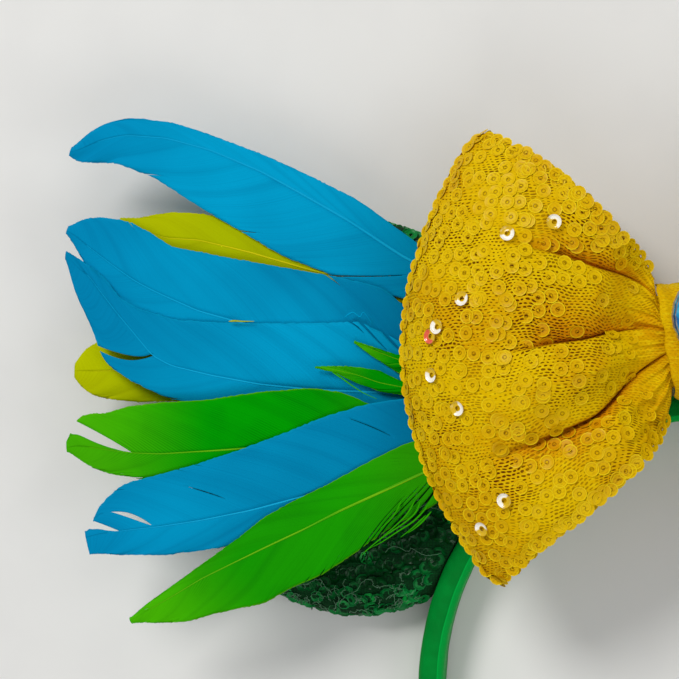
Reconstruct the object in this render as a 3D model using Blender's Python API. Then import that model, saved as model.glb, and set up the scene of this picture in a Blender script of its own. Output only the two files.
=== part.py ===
# Mouse ears headband, lying on its back: metres, +Z towards the front of the headband, +Y up the arch.
# The pieces are modelled round the centre of the arch, and the last step moves the whole
# so that the middle of its underside is the origin.
from math import cos, pi, radians, sin

import bmesh
import bpy
from mathutils import Vector

# Clearances between pieces that touch on the real headband
CLEARANCE = 0.0003
NECK_CLEARANCE = 0.0005

# Band
BAND_INNER_RADIUS = 0.0625
BAND_THICKNESS = 0.0058
BAND_WIDTH = 0.012
BAND_EDGE_RADIUS = 0.0024
BAND_LEG_LENGTH = 0.062
BAND_LEG_LEAN = 0.0075
BAND_ARCH_STEPS = 36
BAND_LEG_STEPS = 8

# Ears
EAR_HALF_WIDTH = 0.0410
EAR_HALF_HEIGHT = 0.0459
EAR_THICKNESS = 0.0118
EAR_CENTRE_ANGLE = radians(143.2)
EAR_OUTSIDE_BAND = 0.0359
EAR_TILT = radians(3.0)
EAR_SEGMENTS = 36

# Bow knot, the strip of net round the gathered middle
KNOT_HALF_HEIGHT = 0.0126
KNOT_CROWN = 0.0012
KNOT_DEPTH = 0.0277
KNOT_WALL = 0.0015
KNOT_HALF_WIDTH_TOP = 0.0132
KNOT_HALF_WIDTH_BOTTOM = 0.0100
KNOT_RISE = 0.0117
KNOT_SQUARENESS = 3.2
KNOT_SEGMENTS = 24

# Bow loops, each one folded sheet that is open above and below
LOOP_WALL = 0.0012
LOOP_REACH = 0.0640
LOOP_CORNER_REACH = 0.0032
LOOP_PUFF = 0.0240
LOOP_FAN_GAP = 0.0010
LOOP_FOCUS = 0.0060
LOOP_DROP = 0.0020
LOOP_LOWER_ANGLE = radians(-51.0)
LOOP_UPPER_ANGLE = radians(46.5)
LOOP_UPPER_BULGE = 0.0050
LOOP_LOWER_BULGE = 0.0052
LOOP_PLEAT_DEPTH = 0.0042
LOOP_EDGE_DROP = 0.28
LOOP_STEPS_ACROSS = 22

# Gem and its rim
GEM_RADIUS = 0.0090
GEM_HEIGHT = 0.0036
GEM_RISE = 0.0056
GEM_SIDES = 12
RIM_WALL = 0.0007
RIM_HEIGHT = 0.0022
RIM_FLOOR = 0.0008
RIM_SEGMENTS = 24

# Feathers
FEATHER_WIDTH = 0.022
FEATHER_THICKNESS = 0.0006
FEATHER_SHAFT_RISE = 0.0002
FEATHER_SHAFT_WIDTH = 0.0011
FEATHER_LIFT = 0.0055
FEATHER_LENGTH = 0.1030
FEATHER_QUILL_WIDTH = 0.0022
FAN_ROOT_INSET = 0.0045
FAN_JOIN_SHIFT = 0.0025
FAN_JOIN_HEIGHT = 0.0060

BAND_OUTER_RADIUS = BAND_INNER_RADIUS + BAND_THICKNESS
BAND_MIDDLE_RADIUS = BAND_INNER_RADIUS + BAND_THICKNESS / 2
BOW_BACK = BAND_WIDTH + CLEARANCE
KNOT_MIDDLE_Y = BAND_OUTER_RADIUS + KNOT_RISE
KNOT_MIDDLE_Z = BOW_BACK + KNOT_DEPTH / 2
EAR_DISTANCE = BAND_OUTER_RADIUS + EAR_OUTSIDE_BAND
EAR_CENTRE = Vector((EAR_DISTANCE * cos(EAR_CENTRE_ANGLE), EAR_DISTANCE * sin(EAR_CENTRE_ANGLE), 0.0))
FAN_ROOT = EAR_CENTRE + Vector((EAR_HALF_WIDTH - FAN_ROOT_INSET, 0.0, 0.0))
FAN_JOIN = FAN_ROOT + Vector((FAN_JOIN_SHIFT, FAN_JOIN_HEIGHT, 0.0))

# Ear from the middle of the back to the middle of the front:
# (share of the half width, share of the thickness)
EAR_PROFILE = [
    (0.55, 0.00), (0.90, 0.00), (0.955, 0.06), (0.99, 0.24), (1.00, 0.42),
    (0.985, 0.62), (0.94, 0.80), (0.85, 0.92), (0.68, 0.98), (0.40, 1.00),
]

# One bow loop from the front of the neck, over the outer fold, to the back of the neck:
# (share of the reach, share of the step up over the feathers, share of the puff,
# 1 on the front layer and -1 on the back)
LOOP_SECTION = [
    (-0.17, 0.60, 0.60, 1.0), (0.00, 0.62, 0.62, 1.0), (0.10, 0.76, 0.76, 1.0), (0.22, 0.90, 0.90, 1.0),
    (0.36, 1.00, 0.97, 1.0), (0.52, 1.00, 1.00, 1.0), (0.70, 1.00, 0.92, 1.0), (0.85, 1.00, 0.74, 1.0),
    (0.955, 1.00, 0.53, 0.6), (1.00, 1.00, 0.33, 0.0), (0.96, 1.00, 0.15, -0.6), (0.85, 1.00, 0.03, -1.0),
    (0.70, 1.00, 0.00, -1.0), (0.56, 0.95, 0.00, -1.0), (0.43, 0.50, 0.00, -1.0), (0.29, 0.00, 0.00, -1.0),
    (0.13, 0.00, 0.00, -1.0), (0.00, 0.15, 0.00, -1.0), (-0.17, 0.23, 0.00, -1.0),
]

# Pleats: (place across the fan at the knot, at a third of the reach, further out,
# share of the pleat depth, share of the reach where the pleat has faded)
LOOP_PLEATS = [
    (0.39, 0.25, 0.24, 1.00, 0.80),
    (0.59, 0.54, 0.52, 0.75, 0.62),
    (0.87, 0.83, 0.80, 0.70, 0.72),
]
PLEAT_HALF_WIDTH = 0.15
BACK_PLEAT_SHARE = 0.3

# Feathers of one side: (name, layer counted from the ear, root height as a share of the ear's
# half height, lean in degrees, share of the feather length)
FEATHERS = [
    ("yellow_2", 0, 0.17, 1.9, 0.84),
    ("yellow_1", 1, 0.60, 13.7, 0.73),
    ("blue_1", 2, 0.60, 19.0, 1.00),
    ("blue_2", 3, 0.21, 18.3, 1.03),
    ("blue_3", 4, 0.12, 6.7, 0.915),
    ("green_3", 5, 0.40, -1.6, 0.29),
    ("green_4", 6, 0.22, 2.3, 0.395),
    ("green_1", 7, -0.01, -3.4, 0.973),
    ("blue_4", 8, -0.12, -12.6, 0.94),
    ("green_2", 9, -0.14, -24.8, 0.91),
]
FEATHER_ROOT_SHIFT = {"yellow_1": 0.16, "yellow_2": 0.14, "blue_1": 0.035, "green_3": 0.05, "green_4": 0.03}

# Outlines of the feathers: rows of (share of the length, shaft, upper edge, lower edge), the last
# three as shares of the feather width, measured from the straight line between root and tip.
OUTLINES = {
    "blue_1": [
        (0.00, 0.00, 0.05, -0.05), (0.12, 0.03, 0.15, -0.07), (0.22, 0.10, 0.31, -0.16),
        (0.35, 0.26, 0.50, -0.27), (0.47, 0.37, 0.58, -0.30), (0.58, 0.46, 0.63, -0.20),
        (0.70, 0.50, 0.65, -0.08), (0.80, 0.47, 0.645, 0.04), (0.89, 0.36, 0.55, 0.055),
        (0.95, 0.22, 0.38, -0.03), (0.985, 0.08, 0.21, -0.08), (1.00, 0.00, 0.06, -0.04),
    ],
    "blue_2": [
        (0.00, 0.00, 0.05, -0.05), (0.12, -0.06, 0.10, -0.18), (0.25, -0.16, 0.34, -0.42),
        (0.32, -0.21, 0.46, -0.52), (0.42, -0.28, 0.42, -0.62), (0.56, -0.34, 0.32, -0.72),
        (0.68, -0.37, 0.24, -0.76), (0.78, -0.32, 0.18, -0.70), (0.83, -0.28, 0.25, -0.60),
        (0.89, -0.20, 0.29, -0.46), (0.95, -0.10, 0.24, -0.28), (0.985, -0.03, 0.13, -0.12),
        (1.00, 0.00, 0.04, -0.04),
    ],
    "blue_3": [
        (0.00, 0.00, 0.05, -0.05), (0.12, -0.04, 0.14, -0.18), (0.24, -0.10, 0.36, -0.34),
        (0.33, -0.14, 0.50, -0.44), (0.38, -0.16, 0.57, -0.50), (0.47, -0.19, 0.51, -0.56),
        (0.60, -0.20, 0.44, -0.57), (0.72, -0.17, 0.39, -0.51), (0.82, -0.10, 0.36, -0.40),
        (0.90, -0.04, 0.38, -0.26), (0.96, -0.02, 0.46, -0.12), (1.02, 0.08, 0.73, 0.02),
        (1.07, 0.55, 0.87, 0.44), (1.10, 0.88, 0.92, 0.84),
    ],
    "blue_4": [
        (0.00, 0.00, 0.05, -0.05), (0.10, 0.00, 0.30, -0.12), (0.20, -0.02, 0.68, -0.24),
        (0.30, -0.04, 0.71, -0.32), (0.40, -0.06, 0.68, -0.38), (0.51, -0.08, 0.60, -0.42),
        (0.62, -0.10, 0.53, -0.42), (0.74, -0.09, 0.48, -0.40), (0.84, -0.06, 0.46, -0.36),
        (0.90, -0.03, 0.45, -0.30), (0.95, -0.01, 0.32, -0.25), (0.98, 0.00, 0.19, -0.21),
        (1.01, 0.00, 0.04, -0.19),
    ],
    "green_1": [
        (0.00, 0.00, 0.05, -0.05), (0.12, -0.02, 0.10, -0.14), (0.24, -0.05, 0.16, -0.30),
        (0.31, -0.07, 0.26, -0.38), (0.37, -0.09, 0.40, -0.43), (0.44, -0.10, 0.46, -0.47),
        (0.56, -0.12, 0.45, -0.50), (0.68, -0.13, 0.40, -0.50), (0.79, -0.13, 0.40, -0.44),
        (0.86, -0.10, 0.38, -0.35), (0.91, -0.06, 0.32, -0.31), (0.95, -0.02, 0.33, -0.22),
        (0.98, 0.00, 0.28, -0.12), (1.00, 0.03, 0.16, -0.06),
    ],
    "green_2": [
        (0.00, 0.03, 0.08, -0.02), (0.12, 0.10, 0.40, -0.10), (0.22, 0.13, 0.48, -0.22),
        (0.33, 0.13, 0.46, -0.24), (0.43, 0.13, 0.43, -0.32), (0.53, 0.11, 0.42, -0.39),
        (0.61, 0.11, 0.39, -0.38), (0.69, 0.10, 0.30, -0.41), (0.80, 0.09, 0.21, -0.30),
        (0.88, 0.05, 0.14, -0.25), (0.95, 0.02, 0.08, -0.12), (1.00, 0.00, 0.02, -0.02),
    ],
    "yellow_1": [
        (0.00, 0.00, 0.05, -0.05), (0.20, -0.02, 0.12, -0.22), (0.40, -0.03, 0.18, -0.34),
        (0.58, 0.00, 0.26, -0.36), (0.75, 0.00, 0.28, -0.32), (0.85, -0.06, 0.22, -0.28),
        (0.95, -0.04, 0.07, -0.16), (1.00, 0.00, 0.03, -0.03),
    ],
    "yellow_2": [
        (0.00, 0.00, 0.05, -0.05), (0.20, 0.02, 0.16, -0.14), (0.45, 0.04, 0.34, -0.24),
        (0.70, 0.04, 0.40, -0.27), (0.82, 0.03, 0.40, -0.30), (0.90, 0.02, 0.38, -0.28),
        (0.95, 0.01, 0.33, -0.21), (0.99, 0.01, 0.18, -0.09), (1.005, 0.00, 0.08, -0.02),
    ],
    "green_3": [
        (0.00, 0.00, 0.03, -0.03), (0.20, -0.06, 0.02, -0.16), (0.42, -0.15, -0.06, -0.29),
        (0.66, -0.20, -0.16, -0.35), (0.82, -0.11, -0.08, -0.19), (1.00, 0.00, 0.01, -0.01),
    ],
    "green_4": [
        (0.00, 0.00, 0.03, -0.03), (0.25, -0.12, -0.06, -0.20), (0.50, -0.17, -0.12, -0.25),
        (0.64, -0.13, -0.01, -0.22), (0.76, -0.06, 0.02, -0.14), (0.88, -0.02, 0.02, -0.04),
        (1.00, 0.00, 0.005, -0.005),
    ],
}

FEATHER_PITCH = FEATHER_THICKNESS + FEATHER_SHAFT_RISE + CLEARANCE
FAN_BACK = EAR_THICKNESS + CLEARANCE
FAN_FRONT = FAN_BACK + len(FEATHERS) * FEATHER_PITCH
LOOP_SEAT = FAN_FRONT + LOOP_FAN_GAP

# Splits in the vanes: (feather, place of the apex along, place of the apex across,
# place of the mouth along, lower and upper side of the mouth), shares as in the outlines
SPLITS = [
    ("green_1", 0.86, -0.09, 1.05, 0.20, 0.46),
    ("blue_4", 0.905, 0.03, 1.06, -0.02, 0.06),
    ("blue_3", 0.87, -0.07, 1.06, -0.03, 0.13),
]

# Finishes: (base colour, roughness, metallic)
FINISHES = {
    "satin": ((0.000, 0.190, 0.030), 0.38, 0.0),
    "green_sequin": ((0.000, 0.060, 0.012), 0.30, 0.2),
    "yellow_net": ((0.760, 0.480, 0.000), 0.55, 0.0),
    "silver": ((0.780, 0.790, 0.800), 0.18, 1.0),
    "blue_stone": ((0.000, 0.230, 0.480), 0.05, 0.0),
    "blue": ((0.000, 0.270, 0.520), 0.60, 0.0),
    "green": ((0.040, 0.330, 0.000), 0.60, 0.0),
    "yellow": ((0.420, 0.440, 0.000), 0.60, 0.0),
}


def clear_scene():
    for item in list(bpy.data.objects):
        bpy.data.objects.remove(item, do_unlink=True)


def make_material(name, finish):
    colour, roughness, metallic = FINISHES[finish]
    material = bpy.data.materials.new(name)
    material.use_nodes = True
    shader = material.node_tree.nodes["Principled BSDF"]
    shader.inputs["Base Color"].default_value = (*colour, 1.0)
    shader.inputs["Roughness"].default_value = roughness
    shader.inputs["Metallic"].default_value = metallic
    return material


def add_object(name, points, faces, finish, closed=True, smooth=True):
    """Makes one named object from points and faces, its faces pointing out."""
    mesh = bpy.data.meshes.new(name)
    mesh.from_pydata([tuple(point) for point in points], [], faces)
    if closed:
        shell = bmesh.new()
        shell.from_mesh(mesh)
        bmesh.ops.recalc_face_normals(shell, faces=shell.faces)
        shell.to_mesh(mesh)
        shell.free()
    if smooth:
        mesh.shade_smooth()
        mesh.set_sharp_from_angle(angle=radians(40))
    mesh.materials.append(make_material(name + "_finish", finish))
    item = bpy.data.objects.new(name, mesh)
    bpy.context.collection.objects.link(item)
    return item


def ring_faces(ring_count, ring_size, wrap=False):
    """Quads between rings of points that follow each other."""
    faces = []
    last = ring_count if wrap else ring_count - 1
    for ring in range(last):
        start = ring * ring_size
        after = ((ring + 1) % ring_count) * ring_size
        for side in range(ring_size):
            turn = (side + 1) % ring_size
            faces.append((start + side, start + turn, after + turn, after + side))
    return faces


def add_loft(name, rings, finish, smooth=True):
    """Joins rings of points and closes both ends with a fan round the middle of the end ring."""
    size = len(rings[0])
    points = [point for ring in rings for point in ring]
    faces = ring_faces(len(rings), size)
    for end in (0, len(rings) - 1):
        middle = sum(rings[end], Vector()) / size
        points.append(middle)
        hub = len(points) - 1
        start = end * size
        faces += [(hub, start + side, start + (side + 1) % size) for side in range(size)]
    return add_object(name, points, faces, finish, smooth=smooth)


def blend(low, high, share):
    return low + (high - low) * share


def ease(share):
    share = min(max(share, 0.0), 1.0)
    return share * share * (3.0 - 2.0 * share)


def squared(angle, power):
    """A point on a circle that is drawn out towards a square."""
    across, up = cos(angle), sin(angle)
    stretch = (abs(across) ** power + abs(up) ** power) ** (-1.0 / power)
    return across * stretch, up * stretch


def band_section():
    """Rounded rectangle across the band: (outward, forward) from the middle of the band."""
    half_thickness = BAND_THICKNESS / 2 - BAND_EDGE_RADIUS
    half_width = BAND_WIDTH / 2 - BAND_EDGE_RADIUS
    corners = [(1, 1), (-1, 1), (-1, -1), (1, -1)]
    section = []
    for quarter, (outward, forward) in enumerate(corners):
        for step in range(4):
            angle = pi / 2 * (quarter + step / 3)
            section.append((outward * half_thickness + BAND_EDGE_RADIUS * cos(angle),
                            forward * half_width + BAND_EDGE_RADIUS * sin(angle)))
    return section


def band_path():
    """Stations down the right leg's tip, over the arch and down the left leg: (place, outward)."""
    leg = []
    for step in range(1, BAND_LEG_STEPS + 1):
        share = step / BAND_LEG_STEPS
        place = Vector((BAND_MIDDLE_RADIUS - BAND_LEG_LEAN * share ** 2, -BAND_LEG_LENGTH * share, 0))
        slope = 2 * BAND_LEG_LEAN * share / BAND_LEG_LENGTH
        leg.append((place, Vector((1.0, -slope, 0.0)).normalized()))
    arch = []
    for step in range(BAND_ARCH_STEPS + 1):
        angle = pi * step / BAND_ARCH_STEPS
        outward = Vector((cos(angle), sin(angle), 0.0))
        arch.append((outward * BAND_MIDDLE_RADIUS, outward))
    left_leg = [(Vector((-place.x, place.y, 0)), Vector((-out.x, out.y, 0))) for place, out in leg]
    return leg[::-1] + arch + left_leg


def make_headband():
    section = band_section()
    stations = band_path()
    end_shares = [0.55, 0.87, 1.0]
    rings = []
    for index, (place, outward) in enumerate(stations):
        from_end = min(index, len(stations) - 1 - index)
        share = end_shares[min(from_end, len(end_shares) - 1)]
        rings.append([place + outward * out * share + Vector((0, 0, BAND_WIDTH / 2 + forward * share))
                      for out, forward in section])
    add_loft("headband", rings, "satin")


def make_ear(name, side):
    rings = []
    for reach, rise in EAR_PROFILE:
        ring = []
        for step in range(EAR_SEGMENTS):
            angle = 2 * pi * step / EAR_SEGMENTS
            ring.append(Vector((reach * EAR_HALF_WIDTH * cos(angle),
                                reach * EAR_HALF_HEIGHT * sin(angle), rise * EAR_THICKNESS)))
        rings.append(ring)
    ear = add_loft(name, rings, "green_sequin")
    ear.location = (side * -EAR_CENTRE.x, EAR_CENTRE.y, 0.0)
    ear.rotation_euler = (0.0, 0.0, -side * EAR_TILT)
    return ear


def cut_ears_to_band(ears):
    """The ears end in a hollow that follows the band's outer face."""
    segments = 96
    radius = (BAND_OUTER_RADIUS + CLEARANCE) / cos(pi / segments)
    depth = 3 * EAR_THICKNESS
    rings = [[Vector((radius * cos(2 * pi * step / segments), radius * sin(2 * pi * step / segments), z))
              for step in range(segments)] for z in (-depth, depth)]
    cutter = add_loft("band_space", rings, "satin", smooth=False)
    cutter.hide_render = True
    cutter.display_type = "WIRE"
    for ear in ears:
        cut = ear.modifiers.new("seat on the band", "BOOLEAN")
        cut.operation = "DIFFERENCE"
        cut.solver = "EXACT"
        cut.object = cutter
    return cutter


def knot_half_width(y):
    share = (y - KNOT_MIDDLE_Y + KNOT_HALF_HEIGHT) / (2 * KNOT_HALF_HEIGHT)
    return blend(KNOT_HALF_WIDTH_BOTTOM, KNOT_HALF_WIDTH_TOP, min(max(share, 0.0), 1.0))


def make_knot():
    """A ring of net round the gathers, open at both sides, a little fuller in its middle."""
    profile = [(-1.0, 0.0), (-0.93, 0.35), (-0.55, 0.8), (0.0, 1.0), (0.55, 0.8), (0.93, 0.35), (1.0, 0.0)]
    hollow = [(0.97, 0.0), (0.0, 0.0), (-0.97, 0.0)]
    rings = []
    for step in range(KNOT_SEGMENTS):
        across, up = squared(2 * pi * step / KNOT_SEGMENTS, KNOT_SQUARENESS)
        ring = []
        for places, inset in ((profile, 0.0), (hollow, KNOT_WALL)):
            for place, crown in places:
                swell = crown * KNOT_CROWN
                y = KNOT_MIDDLE_Y + across * (KNOT_HALF_HEIGHT - inset + swell)
                flattened = KNOT_CROWN - swell if up > 0 else 0.0
                z = KNOT_MIDDLE_Z + up * (KNOT_DEPTH / 2 - inset - flattened)
                ring.append(Vector((place * knot_half_width(y), y, z)))
        rings.append(ring)
    points = [point for ring in rings for point in ring]
    faces = ring_faces(len(rings), len(rings[0]), wrap=True)
    add_object("bow_knot", points, faces, "yellow_net")


def pleat_place(pleat, reach):
    at_knot, at_third, further = pleat[:3]
    if reach < 1 / 3:
        return blend(at_knot, at_third, ease(max(reach, 0.0) * 3))
    return blend(at_third, further, min((reach - 1 / 3) * 1.5, 1.0))


def pleat_inset(across, reach):
    """How far the cloth is drawn in at one place: valleys with sharp bottoms and round ridges."""
    inset = 0.0
    for pleat in LOOP_PLEATS:
        depth, fade = pleat[3:]
        strength = blend(0.30, 1.0, ease(reach * 3.6)) * (1.0 - ease((reach - 0.3) / (fade - 0.3)))
        away = abs(across - pleat_place(pleat, reach)) / PLEAT_HALF_WIDTH
        inset += depth * strength * max(1.0 - away, 0.0) ** 2
    return inset * LOOP_PLEAT_DEPTH


def neck_point(across, face):
    """Where the gathered sheet passes through the knot: (y, z)."""
    spread = 0.92 * (2 * across - 1)
    drop = (1.0 - abs(spread) ** KNOT_SQUARENESS) ** (1 / KNOT_SQUARENESS)
    half_height = KNOT_HALF_HEIGHT - KNOT_WALL - NECK_CLEARANCE
    half_depth = KNOT_DEPTH / 2 - KNOT_WALL - NECK_CLEARANCE - KNOT_CROWN * (face > 0)
    return KNOT_MIDDLE_Y + spread * half_height, KNOT_MIDDLE_Z + face * half_depth * drop


def loop_outer(across):
    """The outer fold of the left loop, an arc that reaches further at its corners."""
    angle = blend(LOOP_LOWER_ANGLE, LOOP_UPPER_ANGLE, across)
    reach = LOOP_REACH + LOOP_CORNER_REACH * abs(2 * across - 1) ** 3
    return Vector((-LOOP_FOCUS - reach * cos(angle), KNOT_MIDDLE_Y - LOOP_DROP + reach * sin(angle), 0.0))


def edge_bulge(reach, side):
    """How far the upper and lower edges stand outside the straight line from knot to corner."""
    reach = min(max(reach, 0.0), 1.0)
    upper = LOOP_UPPER_BULGE * max(side, 0.0) ** 2 * 4.0 * reach * (1.0 - reach)
    lower = LOOP_LOWER_BULGE * max(-side, 0.0) ** 2 * 6.75 * reach * (1.0 - reach) ** 2
    return upper + lower


def loop_point(reach, step_up, puff, face, across):
    neck_y, neck_z = neck_point(across, face)
    root = Vector((-knot_half_width(neck_y) - CLEARANCE, neck_y, 0.0))
    outer = loop_outer(across)
    place = blend(root, outer, reach)
    if reach < 0:
        place = Vector((root.x * (1 + reach / 0.2), neck_y, 0.0))
    side = 2 * across - 1
    edge = (outer - root).normalized()
    outward = Vector((edge.y, -edge.x, 0.0)) if side > 0 else Vector((-edge.y, edge.x, 0.0))
    place += outward * edge_bulge(reach, side)
    if face > 0:
        puff = blend(puff, 0.35, LOOP_EDGE_DROP * abs(side) ** 2.5)
    billow = BOW_BACK + step_up * (LOOP_SEAT - BOW_BACK) + puff * LOOP_PUFF
    z = blend(neck_z, billow, ease(reach / 0.26))
    z -= (face if face > 0 else face * BACK_PLEAT_SHARE) * pleat_inset(across, reach)
    return Vector((place.x, place.y, max(z, BOW_BACK)))


def make_loop(name, side):
    points = []
    for reach, step_up, puff, face in LOOP_SECTION:
        for step in range(LOOP_STEPS_ACROSS + 1):
            point = loop_point(reach, step_up, puff, face, step / LOOP_STEPS_ACROSS)
            points.append(Vector((-side * point.x, point.y, point.z)))
    row = LOOP_STEPS_ACROSS + 1
    faces = []
    for line in range(len(LOOP_SECTION) - 1):
        for step in range(LOOP_STEPS_ACROSS):
            corner = line * row + step
            face = (corner, corner + 1, corner + row + 1, corner + row)
            faces.append(face if side < 0 else face[::-1])
    loop = add_object(name, points, faces, "yellow_net", closed=False)
    wall = loop.modifiers.new("wall", "SOLIDIFY")
    wall.thickness = LOOP_WALL
    wall.offset = -1.0
    return loop


def gem_base():
    return Vector((0.0, KNOT_MIDDLE_Y + GEM_RISE, BOW_BACK + KNOT_DEPTH + CLEARANCE))


def turned_ring(radius, height, sides, shift=0.0):
    return [Vector((radius * cos(2 * pi * (step + shift) / sides),
                    radius * sin(2 * pi * (step + shift) / sides), height)) for step in range(sides)]


def make_gem_rim():
    inside = GEM_RADIUS + CLEARANCE
    outside = inside + RIM_WALL
    profile = [(0.5 * inside, 0.0), (inside, 0.0), (outside, 0.25 * RIM_HEIGHT), (outside, 0.85 * RIM_HEIGHT),
               (blend(inside, outside, 0.45), RIM_HEIGHT), (inside, 0.85 * RIM_HEIGHT), (inside, RIM_FLOOR),
               (0.5 * inside, RIM_FLOOR)]
    rings = [turned_ring(radius, height, RIM_SEGMENTS) for radius, height in profile]
    add_loft("gem_rim", rings, "silver").location = gem_base()


def make_gem():
    """A cut stone: a flat back, a girdle, two rows of facets and a table."""
    back = RIM_FLOOR + CLEARANCE
    girdle = RIM_HEIGHT
    rings = [
        turned_ring(0.90 * GEM_RADIUS, back, 2 * GEM_SIDES),
        turned_ring(GEM_RADIUS, girdle - 0.0003, 2 * GEM_SIDES),
        turned_ring(GEM_RADIUS, girdle, 2 * GEM_SIDES),
        turned_ring(0.82 * GEM_RADIUS, back + 0.66 * GEM_HEIGHT, GEM_SIDES, 0.5),
        turned_ring(0.55 * GEM_RADIUS, back + GEM_HEIGHT, GEM_SIDES),
    ]
    stone = bmesh.new()
    for ring in rings:
        for point in ring:
            stone.verts.new(point)
    hull = bmesh.ops.convex_hull(stone, input=stone.verts)
    loose = [part for part in hull["geom_interior"] if isinstance(part, bmesh.types.BMVert)]
    bmesh.ops.delete(stone, geom=loose, context="VERTS")
    stone.verts.ensure_lookup_table()
    for index, vert in enumerate(stone.verts):
        vert.index = index
    points = [vert.co.copy() for vert in stone.verts]
    faces = [tuple(vert.index for vert in face.verts) for face in stone.faces]
    stone.free()
    add_object("gem", points, faces, "blue_stone", smooth=False).location = gem_base()


def feather_frame(row):
    """Root, direction and upward side of a left feather, its length and its height off the floor."""
    name, layer, root_share, lean, length_share = row
    root = FAN_ROOT + Vector((-FEATHER_ROOT_SHIFT.get(name, 0.0) * FEATHER_LENGTH,
                              root_share * EAR_HALF_HEIGHT, 0.0))
    along = Vector((-cos(radians(lean)), sin(radians(lean)), 0.0))
    across = Vector((sin(radians(lean)), cos(radians(lean)), 0.0))
    return root, along, across, length_share * FEATHER_LENGTH, FAN_BACK + layer * FEATHER_PITCH


def fan_lift(place):
    """All feathers follow one gently rising surface, so that they stay clear of each other."""
    reach = (place - FAN_ROOT).length
    return FEATHER_LIFT * (reach / FEATHER_LENGTH) ** 2


def feather_ring(middle, across, base, shaft, upper, lower):
    """Section of a vane with its raised shaft, the offsets as shares of the feather width."""
    half_shaft = min(FEATHER_SHAFT_WIDTH / 2 / FEATHER_WIDTH, 0.3 * (upper - lower))
    shaft = min(max(shaft, lower + half_shaft * 1.3), upper - half_shaft * 1.3)
    top = [(lower, 0.0), ((lower + shaft) / 2, 0.0), (shaft - half_shaft, 0.0),
           (shaft, FEATHER_SHAFT_RISE), (shaft + half_shaft, 0.0), ((upper + shaft) / 2, 0.0), (upper, 0.0)]
    ring = []
    for offset, rise in top:
        place = middle + across * offset * FEATHER_WIDTH
        place.z = base + FEATHER_THICKNESS + fan_lift(place) + rise
        ring.append(place)
    for offset in (upper, shaft, lower):
        place = middle + across * offset * FEATHER_WIDTH
        place.z = base + fan_lift(place)
        ring.append(place)
    return ring


def make_feather(name, side, row):
    """A quill from where the whole fan is joined, and then the vane."""
    root, along, across, length, base = feather_frame(row)
    quill = (root - FAN_JOIN).normalized()
    half_quill = FEATHER_QUILL_WIDTH / 2 / FEATHER_WIDTH
    rings = [feather_ring(FAN_JOIN, Vector((quill.y, -quill.x, 0.0)), base, 0.0, half_quill, -half_quill)]
    for share, shaft, upper, lower in OUTLINES[row[0]]:
        rings.append(feather_ring(root + along * share * length, across, base, shaft, upper, lower))
    rings = [[Vector((-side * place.x, place.y, place.z)) for place in ring] for ring in rings]
    return add_loft(name, rings, row[0].split("_")[0])


def split_vane(feather, side, row, split):
    """Cuts a narrow wedge out of a vane, from its tip inward."""
    root, along, across, length, base = feather_frame(row)
    apex_along, apex_across, mouth_along, mouth_low, mouth_high = split[1:]
    corners = [(apex_along, apex_across), (mouth_along, mouth_low), (mouth_along, mouth_high)]
    rings = []
    for z in (base - FEATHER_PITCH, base + FEATHER_LIFT * 2 + FEATHER_PITCH):
        ring = []
        for share, offset in corners:
            place = root + along * share * length + across * offset * FEATHER_WIDTH
            ring.append(Vector((-side * place.x, place.y, z)))
        rings.append(ring)
    wedge = add_loft(feather.name + "_split_space", rings, "satin", smooth=False)
    wedge.hide_render = True
    wedge.display_type = "WIRE"
    cut = feather.modifiers.new("split", "BOOLEAN")
    cut.operation = "DIFFERENCE"
    cut.solver = "EXACT"
    cut.object = wedge
    return wedge


def make_feathers(side, label):
    for row in FEATHERS:
        feather = make_feather("feather_%s_%s" % (label, row[0]), side, row)
        for split in SPLITS:
            if split[0] == row[0]:
                split_vane(feather, side, row, split)


def settle_on_origin():
    """Moves everything so that the middle of the underside of the whole is the origin."""
    bpy.context.view_layer.update()
    graph = bpy.context.evaluated_depsgraph_get()
    places = []
    for item in bpy.data.objects:
        if item.type == "MESH" and not item.hide_render:
            solid = item.evaluated_get(graph)
            places += [solid.matrix_world @ vert.co for vert in solid.data.vertices]
    lows = [min(place[axis] for place in places) for axis in range(3)]
    highs = [max(place[axis] for place in places) for axis in range(3)]
    holder = bpy.data.objects.new("headband_origin", None)
    bpy.context.collection.objects.link(holder)
    for item in bpy.data.objects:
        if item.type == "MESH":
            item.parent = holder
    holder.location = (-(lows[0] + highs[0]) / 2, -(lows[1] + highs[1]) / 2, -lows[2])


def main():
    clear_scene()
    make_headband()
    ears = [make_ear("ear_left", -1), make_ear("ear_right", 1)]
    cut_ears_to_band(ears)
    make_knot()
    make_loop("bow_loop_left", -1)
    make_loop("bow_loop_right", 1)
    make_gem_rim()
    make_gem()
    make_feathers(-1, "left")
    make_feathers(1, "right")
    settle_on_origin()


main()
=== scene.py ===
# Mouse ears headband with a sequinned bow and feather fans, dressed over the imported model.
# Metres, lying on its back: +Z out of the front, +Y up the arch, +X across it.
from math import cos, pi, radians, sin

import bpy
import numpy as np
from mathutils import Matrix, Vector, noise


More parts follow.
